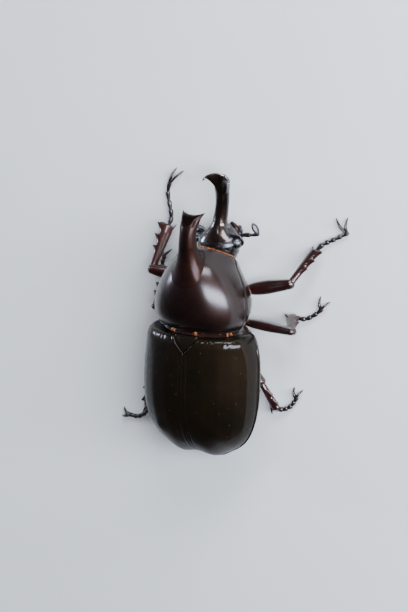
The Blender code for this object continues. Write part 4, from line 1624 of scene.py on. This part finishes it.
@dataclass(frozen=True)
class Leg:
    """One leg, from its hip to its two claws.

    The foot holds x and y at the end of each joint, and the claws those of each
    claw's tip. The femur is the thigh's half-width and half-depth, and the tibia
    the shank's half-width.
    """

    name: str
    hip: Point
    out: Point
    knee: Point
    ankle: Point
    foot: Rows
    claws: Rows
    femur: tuple[float, float]
    tibia: float
    teeth: int

    def marks(self) -> tuple[Array, Array, Array, Array]:
        """Hip, end of the hip, knee and ankle as arrays."""
        return tuple(np.array(p, float) for p in (self.hip, self.out, self.knee, self.ankle))

    def shank_frame(self) -> tuple[Array, Array, Array]:
        """Unit vectors along the shank, to its outer edge and square to both.

        Returns:
            The three vectors, in that order.
        """
        _, out, knee, ankle = self.marks()
        way = unit(ankle - knee)
        outer = -unit(np.cross(np.cross(way, out - knee), way))
        return way, outer, np.cross(outer, way)

    def hip_surface(self) -> Surface:
        """The hip joint and the short ring before the thigh.

        Returns:
            The closed surface.
        """
        hip, out, knee, _ = self.marks()
        way = unit(knee - out)
        bend = out - 1.3 * way
        wide, deep = self.femur
        points = np.vstack([hip, (hip + bend) / 2, bend, out - 0.1 * way])
        radii = np.array([[1.5, 1.45], [1.45, 1.4], [wide * 0.95, deep * 0.95], [wide * 0.8, deep * 0.8]])
        at = np.linspace(0, 3, 40)
        neck = (1 - 0.14 * bump(at, 1.55, 0.12))[:, None]
        return limb(spline(points, at), spline(radii, at) * neck, 30)

    def thigh_surface(self) -> Surface:
        """The thigh, thickest past its middle, with a groove along each edge and a rounded knee.

        Its half sizes follow a curve of t, and a dent of 0.09 mm runs along the sides
        where the shank folds in.

        Returns:
            The closed surface.
        """
        _, out, knee, _ = self.marks()
        t = np.linspace(-0.02, 1, 60)
        path = out + (knee - out) * t[:, None]
        knots = np.array([[0.74], [0.98], [1.07], [1.09], [1.02], [0.93], [0.8]])
        swell = spline(knots, np.clip(t, 0, 1) * 6)
        path, radii = rounded(path, swell * self.femur, steps=9)
        rings = sweep(path, radii, 40, power=2.15)
        turn = turns(40)[None, :]
        along = np.linspace(0, 1, len(path))[:, None]
        grooves = bump(turn, math.pi, 0.3) + bump(turn, 0.02, 0.3)
        return tube(raised(rings, -0.09 * grooves * ramp(along, 0.45, 0.65)))

    def tooth_places(self) -> tuple[list[tuple[float, float]], float]:
        """Place along the shank and reach of each tooth, and the shank's length.

        Returns:
            The places, from 0 at the knee to 1 at the ankle, each with its reach, and the length.
        """
        _, _, knee, ankle = self.marks()
        length = float(np.linalg.norm(ankle - knee))
        places = []
        for k in range(self.teeth):
            place = 0.9 - k * 0.25 if self.teeth == 3 else 0.72 - k * 0.33
            reach = self.tibia * (2.3 - 0.25 * k if self.teeth == 3 else 1.75)
            places.append((place + 0.75 / length, reach))
        return places, length

    def shank_surface(self) -> Surface:
        """The shank with its outer teeth and the spurs at its tip.

        A ring has x = wide cos(u) + extra max(cos(u), 0)^5 towards the outer edge,
        where extra rises to each tooth over 1.35 mm and falls again over 0.55 mm.

        Returns:
            The shank and its spurs as one surface.
        """
        way, outer, up = self.shank_frame()
        _, _, knee, ankle = self.marks()
        places, length = self.tooth_places()
        t = np.linspace(0, 1.0, 150)
        wide = np.interp(t, [0, 0.08, 0.15, 0.5, 0.85, 1], [0.68, 0.8, 0.78, 1.0, 1.3, 1.28])
        deep = np.interp(t, [0, 0.15, 0.5, 0.85, 1], [0.74, 0.72, 0.76, 0.85, 0.82])
        extra = np.zeros_like(t)
        for place, reach in places:
            before = np.clip(1 - (place - t) * length / 1.35, 0, 1)
            after = np.clip(1 - (t - place) * length / 0.55, 0, 1)
            rise = np.where(t < place, before, after) ** 1.4
            extra = np.maximum(extra, (reach - self.tibia) * rise)
        path = knee + (ankle - knee) * t[:, None]
        turn = turns(36)
        c, s = np.cos(turn)[None, :], np.sin(turn)[None, :]
        tooth = extra[:, None] * np.clip(c, 0, 1) ** 5
        x = self.tibia * wide[:, None] * c + tooth
        z = self.tibia * deep[:, None] * np.sign(s) * np.abs(s) ** 0.92
        rings = path[:, None] + x[..., None] * outer + z[..., None] * up
        rings = rings + (0.5 * tooth)[..., None] * way
        rings[..., 2] = np.maximum(rings[..., 2], FLOOR + 0.12)
        ends = []
        for ring, step in ((rings[0], -1), (rings[-1], 1)):
            middle = ring.mean(0)
            reach = way * step * self.tibia * 0.55
            ends.append([
                middle + (ring - middle) * math.cos(k) + reach * math.sin(k)
                for k in np.linspace(0, math.pi / 2, 8)[1:-1]
            ])
        shaft = tube(np.stack([*ends[0][::-1], *rings, *ends[1]]))
        return joined([shaft, *self.spurs()])

    def spurs(self) -> list[Surface]:
        """The movable spurs at the tip of the shank, clear of the foot.

        Returns:
            A closed surface for each spur.
        """
        way, outer, up = self.shank_frame()
        _, _, _, ankle = self.marks()
        ahead = unit(np.array([*self.foot[0], FLOOR + 0.95]) - ankle)
        spurs = ((0.55, 1.0), (-0.55, 0.85), (2.6, 0.8)) if self.teeth == 2 else ((0.0, 1.15),)
        made = []
        for turn, reach in spurs:
            aside = -outer * math.cos(turn) + up * math.sin(turn)
            if aside @ ahead > 0.35:
                continue
            root = ankle - way * 0.5 + aside * self.tibia * 0.8
            tip = root + way * (reach + 0.6) + aside * 0.8
            tip[2] = max(tip[2], FLOOR + 0.3)
            made.append(cone(root, tip, 0.3, aside * 0.12))
        return made

    def foot_line(self, at: Array) -> Array:
        """Centre line of the foot.

        Args:
            at: Places counted in joints from the ankle.

        Returns:
            Points on a smooth curve through the ends of the joints.
        """
        way, _, _ = self.shank_frame()
        _, _, _, ankle = self.marks()
        heights = (0.95, 0.75, 0.62, 0.58, 0.62)
        joints = [np.array([x, y, FLOOR + z]) for (x, y), z in zip(self.foot, heights)]
        return spline([ankle - way * 0.1, *joints], at)

    def foot_surface(self) -> Surface:
        """Five bell-shaped joints, each set in the mouth of the one before.

        Returns:
            The five joints as one surface.
        """
        joints = []
        for k in range(5):
            last = k == 4
            line = self.foot_line(k + np.linspace(-0.04 if k else 0, 1.0, 24))
            knots = (0.28, 0.32, 0.38, 0.45, 0.48) if last else (0.3, 0.34, 0.42, 0.52, 0.55)
            size = spline([[knot] for knot in knots], np.linspace(0, 4, 24))[:, 0]
            joint = limb(line, pair(size * (1.0 if last else 0.98 - 0.03 * k), 0.95), 24, steps=6)
            joint.points[:, 2] = np.maximum(joint.points[:, 2], FLOOR)
            joints.append(joint)
        return joined(joints)

    def claw_surface(self) -> Surface:
        """Two curved claws, sharp at the tip and thick at the root.

        Returns:
            Both claws as one surface.
        """
        last = self.foot_line(np.array([5.0]))[0]
        made = []
        for x, y in self.claws:
            tip = np.array([x, y, FLOOR + 0.1])
            middle = (last + tip) / 2 + [0, 0, 0.75]
            line = spline([last, middle, tip], np.linspace(0, 2, 34))
            size = np.interp(np.linspace(0, 1, 34), [0, 0.1, 0.35, 0.75, 1], [0.32, 0.42, 0.38, 0.26, 0.08])
            claw = limb(line, pair(size * 0.8, 1.25), 16, end=False, steps=5)
            claw.points[:, 2] = np.maximum(claw.points[:, 2], FLOOR + 0.02)
            made.append(claw)
        return joined(made)

    def build(self) -> None:
        """The pieces of the leg, from hip to claws."""
        name = self.name
        make_piece(f"hip_{name}", self.hip_surface(), LEG_CUTICLE, Slot.LEG, f"coxa_{name}")
        make_piece(f"thigh_{name}", self.thigh_surface(), LEG_CUTICLE, Slot.LEG, f"femur_{name}")
        make_piece(f"shank_{name}", self.shank_surface(), LEG_CUTICLE, Slot.LEG, f"tibia_{name}")
        make_piece(f"foot_{name}", self.foot_surface(), FOOT_CUTICLE, Slot.FOOT, f"tarsus_{name}")
        make_piece(f"claws_{name}", self.claw_surface(), FOOT_CUTICLE, Slot.FOOT)

    def bristles(self, rng: np.random.Generator) -> tuple[Array, Array, Array]:
        """Stiff hairs along the inner edge and the teeth of the shank, under the thigh and the foot.

        Args:
            rng: Source of the random draws.

        Returns:
            Roots, directions and lengths.
        """
        way, outer, up = self.shank_frame()
        _, out, knee, ankle = self.marks()
        inner_count, tooth_count, thigh_count, joint_count = 46, 9, 34, 8
        t = np.sort(rng.uniform(0.12, 0.97, inner_count))[:, None]
        inner = knee + (ankle - knee) * t - outer * self.tibia * (0.75 + 0.3 * t)
        inner_way = unit(way * 0.9 - outer * 0.8 + up * rng.normal(0, 0.25, (inner_count, 1)))
        places = np.repeat([p - 0.02 for p, _ in self.tooth_places()[0]], tooth_count)[:, None]
        fringe = knee + (ankle - knee) * places + outer * self.tibia * 0.9
        spread = rng.uniform(-1, 1, (len(places), 1))
        fringe = fringe + up * spread * self.tibia * 0.5
        fringe_way = unit(way * 1.1 + outer * 0.8 + up * spread * 0.6)
        s = np.sort(rng.uniform(0.1, 0.95, thigh_count))[:, None]
        below = out + (knee - out) * s - np.array([0, 0, self.femur[1] * 0.98])
        stray = rng.normal(0, 0.2, (thigh_count, 3))
        below_way = unit(unit(knee - out) * 0.7 + np.array([0, 0, -1.0]) + stray)
        at = np.repeat(np.arange(1, 6), joint_count)
        stray = rng.normal(0, 0.2, (len(at), 3)) * [1, 1, 0.4]
        sole = self.foot_line(at - 0.12) + stray - [0, 0, 0.25]
        ahead = self.foot_line(np.minimum(at + 0.1, 5)) - self.foot_line(at - 0.2)
        stray = rng.normal(0, 0.35, (len(at), 3)) * [1, 1, 0.2]
        sole_way = unit(unit(ahead) + [0, 0, -0.3] + stray)
        roots = np.vstack([inner, fringe, below, sole])
        ways = np.vstack([inner_way, fringe_way, below_way, sole_way])
        lengths = np.concatenate([
            rng.uniform(0.5, 0.9, len(inner)),
            rng.uniform(0.6, 0.9, len(fringe)),
            rng.uniform(0.4, 0.8, len(below)),
            rng.uniform(0.3, 0.5, len(sole)),
        ])
        room = np.maximum(roots[:, 2] - FLOOR - 0.05, 0.15) * 2
        return roots, ways, np.minimum(lengths, room)


LEGS = (
    Leg(
        "front_right",
        hip=(-2.2, -7.4, -6.8),
        out=(-6.2, -7.1, -6.4),
        knee=(-17.3, -10.5, -3.4),
        ankle=(-20.1, -16.7, -8.0),
        foot=((-21.4, -18.1), (-22.6, -18.9), (-23.9, -19.6), (-25.3, -20.4), (-26.8, -21.3)),
        claws=((-24.0, -24.0), (-26.6, -24.4)),
        femur=(1.35, 1.2),
        tibia=0.95,
        teeth=3,
    ),
    Leg(
        "front_left",
        hip=(2.2, -7.4, -6.8),
        out=(6.2, -7.1, -6.4),
        knee=(14.7, -8.8, -3.2),
        ankle=(14.2, -16.8, -7.9),
        foot=((13.9, -18.4), (14.1, -20.0), (14.6, -21.7), (15.0, -23.6), (14.7, -25.6)),
        claws=((11.7, -28.6), (13.4, -29.0)),
        femur=(1.35, 1.2),
        tibia=0.95,
        teeth=3,
    ),
    Leg(
        "middle_right",
        hip=(-2.4, 1.0, -6.8),
        out=(-6.1, -0.3, -6.5),
        knee=(-18.7, -1.0, -2.6),
        ankle=(-15.4, -2.4, -8.1),
        foot=((-16.6, -2.3), (-17.9, -2.3), (-19.2, -2.8), (-20.5, -3.7), (-21.7, -4.8)),
        claws=((-21.2, -7.4), (-23.4, -6.6)),
        femur=(0.95, 1.3),
        tibia=0.9,
        teeth=2,
    ),
    Leg(
        "middle_left",
        hip=(2.4, 1.0, -6.8),
        out=(6.1, -0.3, -6.5),
        knee=(13.9, -1.2, -3.4),
        ankle=(14.5, -5.2, -8.1),
        foot=((15.1, -6.3), (15.5, -7.3), (15.7, -8.3), (15.7, -9.3), (15.4, -10.2)),
        claws=((13.9, -11.9), (15.8, -12.4)),
        femur=(0.95, 1.3),
        tibia=0.9,
        teeth=2,
    ),
    Leg(
        "hind_right",
        hip=(-2.2, 7.2, -7.0),
        out=(-5.0, 8.8, -7.1),
        knee=(-9.5, 11.6, -6.8),
        ankle=(-12.6, 17.0, -8.1),
        foot=((-13.6, 17.2), (-14.6, 16.9), (-15.5, 16.3), (-16.2, 15.4), (-16.8, 14.4)),
        claws=((-16.0, 12.3), (-18.0, 12.6)),
        femur=(1.25, 1.3),
        tibia=0.85,
        teeth=2,
    ),
    Leg(
        "hind_left",
        hip=(2.2, 7.2, -7.0),
        out=(5.6, 9.0, -7.0),
        knee=(14.8, 12.4, -4.0),
        ankle=(17.0, 21.5, -7.9),
        foot=((18.0, 22.7), (18.9, 23.5), (19.9, 24.1), (20.9, 24.3), (21.9, 24.2)),
        claws=((23.9, 22.9), (24.3, 24.8)),
        femur=(1.25, 1.4),
        tibia=0.9,
        teeth=2,
    ),
)


# Hairs


@dataclass(frozen=True)
class HairCoat:
    """Tapered, three-sided hairs as one solid mesh."""

    name: str
    finish: Bristle
    slot: Slot
    radius: float = 0.035
    bend: float = 0.25
    patch: float = 0.003

    def build(
        self, roots: Array, ways: Array, lengths: Array, plan: Array, droop: Array
    ) -> bpy.types.Object:
        """Grows the hairs.

        A hair runs along root + way L t + droop L bend t^2 and keeps (1 - t)^0.7 of
        its radius. Each is a patch at its root's place on the OFBake map.

        Args:
            roots: Points on the skin.
            ways: Unit directions.
            lengths: Lengths in millimetres.
            plan: Each root's place on an unwrap of the skin, from 0 to 1.
            droop: Directions in which the hairs bend, as rows or as one.

        Returns:
            The piece.
        """
        count = len(roots)
        droop = np.broadcast_to(droop, roots.shape)
        t = np.array([0.0, 0.3, 0.62, 0.85])
        line = (
            roots[:, None]
            - ways[:, None] * 0.05
            + ways[:, None] * (lengths[:, None] * t)[..., None]
            + droop[:, None] * (lengths[:, None] * self.bend * t**2)[..., None]
        )
        side = unit(np.cross(ways, np.array([0.31, 0.52, 0.79])))
        over = np.cross(ways, side)
        turn = turns(3)
        ring = side[:, None] * np.cos(turn)[None, :, None] + over[:, None] * np.sin(turn)[None, :, None]
        size = self.radius * (1 - t) ** 0.7
        rings = line[:, :, None] + ring[:, None] * size[None, :, None, None]
        tip = roots + ways * lengths[:, None] + droop * (lengths * self.bend)[:, None]
        points = np.concatenate([rings.reshape(count, 12, 3), tip[:, None]], axis=1)
        k = np.arange(3)
        following = (k + 1) % 3
        band = np.stack([k, following, 3 + following, 3 + k], 1)
        bands = np.concatenate([band, band + 3, band + 6])
        ends = np.concatenate([np.stack([9 + k, 9 + following, np.full(3, 12)], 1), [[2, 1, 0]]])
        start = (np.arange(count) * 13)[:, None, None]
        quads = (bands[None] + start).reshape(-1, 4)
        triangles = (ends[None] + start).reshape(-1, 3)
        surface = Surface(points.reshape(-1, 3), quads, triangles)
        piece = make_piece(self.name, surface, self.finish, self.slot)
        corner = np.array([*(((v % 3) / 3, (v // 3) / 4) for v in range(12)), (0.5, 1.0)])
        place = np.clip(plan, 0, 1)[:, None] * (1 - self.patch) + corner[None] * self.patch
        uv = piece.data.uv_layers.new(name="OFBake")
        vertex = np.empty(len(piece.data.loops), np.int32)
        piece.data.loops.foreach_get("vertex_index", vertex)
        uv.data.foreach_set("uv", place.reshape(-1, 2)[vertex].astype(np.float32).ravel())
        return piece


@dataclass(frozen=True)
class Hairs:
    """Bristles of the legs, orange fringe of the pronotum and brown coat of the chest."""

    body: LoftedBody = Pronotum().body
    hind: HindBody = HindBody()
    seed: int = 11
    front_count: int = 620
    stray_count: int = 14
    clump_places: tuple[float, ...] = (-1.6, 3.4, -7.9)
    clump_count: int = 22
    chest_count: int = 1700
    collar_count: int = 900

    def leg_bristles(self, rng: np.random.Generator) -> None:
        """The bristles of all legs as one piece.

        Args:
            rng: Source of the random draws.
        """
        roots, ways, lengths = (np.concatenate(rows) for rows in zip(*(leg.bristles(rng) for leg in LEGS)))
        plan = (roots[:, :2] + 30) / 60
        coat = HairCoat("leg_bristles", BROWN_SETAE, Slot.LEG, radius=0.03)
        coat.build(roots, ways, lengths, plan, np.array([0.0, 0.0, -0.2]))

    def margin_fringe(self, rng: np.random.Generator) -> None:
        """Orange hairs at the margins: a dense row in front, and strays and clumps behind.

        Args:
            rng: Source of the random draws.
        """
        point, count, strays = self.body.point, self.front_count, self.stray_count
        front = point(np.full(count, 8.93), rng.uniform(-1.9, 1.9, count))
        inward = unit(front.mean(0) - front)
        front = front + inward * 0.25
        front_way = unit(np.array([0, -1.0, 0]) + inward * 0.35 + rng.normal(0, 0.15, (count, 3)))
        hind = point(np.full(strays, 0.06), rng.uniform(-1.6, 1.6, strays))
        centre = hind.mean(0)
        inward = unit(centre - hind)
        hind = hind + inward * 0.2
        hind_way = unit(np.array([0, 1.0, 0]) + inward * 0.25 + rng.normal(0, 0.2, (strays, 3)))
        margin = 8.2
        across = [x + rng.normal(0, 0.3, self.clump_count) for x in self.clump_places]
        turn = np.arcsin(np.clip(np.concatenate(across) / margin, -0.98, 0.98))
        tufts = point(np.full(len(turn), 0.05), turn)
        tufts = tufts + unit(centre - tufts) * 0.15
        tuft_way = unit(np.array([0, 1.0, 0.1]) + rng.normal(0, 0.28, tufts.shape))
        roots = np.vstack([front, hind, tufts])
        ways = np.vstack([front_way, hind_way, tuft_way])
        lengths = np.concatenate([
            rng.uniform(0.3, 0.5, count),
            rng.uniform(0.3, 0.6, strays),
            rng.uniform(0.6, 1.1, len(tufts)),
        ])
        plan = (roots[:, :2] + [12, 18]) / [24, 20]
        coat = HairCoat("margin_fringe", ORANGE_SETAE, Slot.PRONOTUM, radius=0.026)
        coat.build(roots, ways, lengths, plan, np.array([0.0, 0.0, -1.0]))

    def chest_coat(self, rng: np.random.Generator) -> None:
        """Brown hairs under the hind thorax and round the collar, lying to the back.

        Args:
            rng: Source of the random draws.
        """
        rings, under = self.hind.rings((1.0, 9.0), 60)
        low = rings[:, under > 0.5].reshape(-1, 3)
        pick = rng.choice(len(low), self.chest_count, replace=False)
        chest = low[pick] + rng.normal(0, 0.05, (self.chest_count, 3)) * [1, 1, 0]
        v = rng.uniform(1.0, 8.0, self.collar_count)
        collar = self.body.point(v, rng.uniform(1.95, 2 * math.pi - 1.95, self.collar_count))
        roots = np.vstack([chest, collar])
        ways = unit(np.array([0, 0.8, -0.6]) + rng.normal(0, 0.3, roots.shape))
        lengths = rng.uniform(0.5, 1.1, len(roots))
        plan = (roots[:, :2] + [13, 17]) / [26, 28]
        coat = HairCoat("chest_coat", BROWN_SETAE, Slot.UNDERSIDE, bend=0.35)
        coat.build(roots, ways, lengths, plan, np.array([0.0, 1.0, 0.0]))

    def build(self) -> None:
        """The three coats, from two seeded sources."""
        self.leg_bristles(np.random.default_rng(self.seed))
        rng = np.random.default_rng(self.seed + 1)
        self.margin_fringe(rng)
        self.chest_coat(rng)


# Studio


@dataclass(frozen=True)
class Softbox:
    """A soft panel aimed at the beetle.

    Its width lies square to the body's length, its height along it, and the tilt
    turns both about the line to the beetle, in degrees. Its sizes are in metres, and
    its radiance is in watts for each square metre and steradian.
    """

    name: str
    direction: Point
    distance: float
    width: float
    height: float
    radiance: float
    colour: str
    tilt: float = 0.0

    def place(self, target: Vector) -> None:
        """Adds the light, facing the target.

        Args:
            target: The point that it faces, in metres.
        """
        light = bpy.data.lights.new(self.name, "AREA")
        light.shape = "RECTANGLE"
        light.size = self.width
        light.size_y = self.height
        light.energy = self.radiance * math.pi * self.width * self.height
        light.color = linear(self.colour)[:3]
        lamp = bpy.data.objects.new(self.name, light)
        way = unit(np.array(self.direction))
        across = unit(np.cross(np.array([0.0, 1.0, 0.0]), way))
        along = np.cross(way, across)
        c, s = math.cos(math.radians(self.tilt)), math.sin(math.radians(self.tilt))
        basis = np.eye(4)
        basis[:3, 0], basis[:3, 1], basis[:3, 2] = across * c + along * s, along * c - across * s, way
        basis[:3, 3] = np.array(target) + way * self.distance
        lamp.matrix_world = Matrix(basis.tolist())
        bpy.context.scene.collection.objects.link(lamp)


@dataclass(frozen=True)
class Studio:
    """Pale floor, soft lights and the camera.

    The camera's scale is in pixels for each millimetre, and its origin is the pixel
    where the body origin falls. Its right and up are directions in the body's frame.
    """

    scale: float = 4.957
    origin: tuple[float, float] = (205.155, 324.96)
    frame: tuple[int, int] = (408, 612)
    right: Point = (-0.8605, -0.0355, -0.5082)
    up: Point = (0.1506, -0.9707, -0.1872)
    distance: float = 1.2
    sensor: float = 36.0
    floor_reach: float = 3.0
    horizon: str = "#8f9191"
    zenith: str = "#26282a"
    glow: float = 0.55
    lights: tuple[Softbox, ...] = (
        Softbox("side_panel", (-0.8, -0.17, 0.57), 0.42, 0.42, 0.13, 46.0, "#dde9ff", tilt=2.0),
        Softbox("front_panel", (-0.38, -0.8, 0.46), 0.42, 0.28, 0.14, 26.0, "#e6efff"),
        Softbox("low_left_panel", (0.93, -0.2, 0.3), 0.4, 0.07, 0.09, 60.0, "#d4e4ff"),
        Softbox("crown_panel", (0.12, -0.48, 0.87), 0.42, 0.045, 0.06, 34.0, "#e6efff"),
    )

    def add_floor(self) -> None:
        """A wide floor, painted a matt warm white."""
        mesh = bpy.data.meshes.new("studio_floor")
        corners = np.array([(-1, -1, 0), (1, -1, 0), (1, 1, 0), (-1, 1, 0)]) * self.floor_reach
        mesh.from_pydata(corners.tolist(), [], [(0, 1, 2, 3)])
        mesh.materials.append(FLOOR_PAINT.material())
        floor = bpy.data.objects.new("studio_floor", mesh)
        bpy.context.scene.collection.objects.link(floor)
        floor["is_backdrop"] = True

    def add_world(self) -> None:
        """A studio that is pale near the ground and dim overhead."""
        world = bpy.data.worlds.new("studio")
        bpy.context.scene.world = world
        world.use_nodes = True
        tree = world.node_tree
        back = tree.nodes["Background"]
        way = add_node(tree, "ShaderNodeTexCoord").outputs["Generated"]
        height = add_node(tree, "ShaderNodeSeparateXYZ", feeds={0: way}).outputs["Z"]
        share = add_node(
            tree, "ShaderNodeMapRange", feeds={"Value": height, "From Min": -0.05, "From Max": 0.4}
        ).outputs[0]
        colour = add_node(
            tree,
            "ShaderNodeMix",
            {"data_type": "RGBA"},
            {"Factor": share, "A": linear(self.horizon), "B": linear(self.zenith)},
        ).outputs["Result"]
        tree.links.new(colour, back.inputs["Color"])
        back.inputs["Strength"].default_value = self.glow

    def add_camera(self) -> None:
        """The camera at the photograph's angle and roll, far off with a long lens."""
        right, up = np.array(self.right), np.array(self.up)
        back = np.cross(right, up)
        middle = np.array(self.frame) / 2
        across = (middle[0] - self.origin[0]) / self.scale
        above = (self.origin[1] - middle[1]) / self.scale
        target = PLACE.metres(across * right + above * up)
        data = bpy.data.cameras.new("camera")
        data.sensor_fit = "AUTO"
        data.sensor_width = self.sensor
        data.lens = self.sensor * self.distance / (self.frame[1] / self.scale * MM)
        data.clip_start, data.clip_end = 0.05, 20
        camera = bpy.data.objects.new("camera", data)
        basis = np.eye(4)
        basis[:3, 0], basis[:3, 1], basis[:3, 2] = right, up, back
        basis[:3, 3] = target + back * self.distance
        camera.matrix_world = Matrix(basis.tolist())
        bpy.context.scene.collection.objects.link(camera)
        bpy.context.scene.camera = camera

    def build(self) -> None:
        """Floor, world, lights and camera."""
        self.add_floor()
        self.add_world()
        low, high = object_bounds()
        for light in self.lights:
            light.place((low + high) / 2)
        self.add_camera()


def main() -> None:
    """Builds the beetle and its studio."""
    logging.basicConfig(level=logging.INFO, format="%(name)s %(message)s")
    for part in (Pronotum(), WingCases(), HindBody(), Head(), *LEGS, Hairs(), Studio()):
        part.build()


if __name__ == "__main__":
    main()
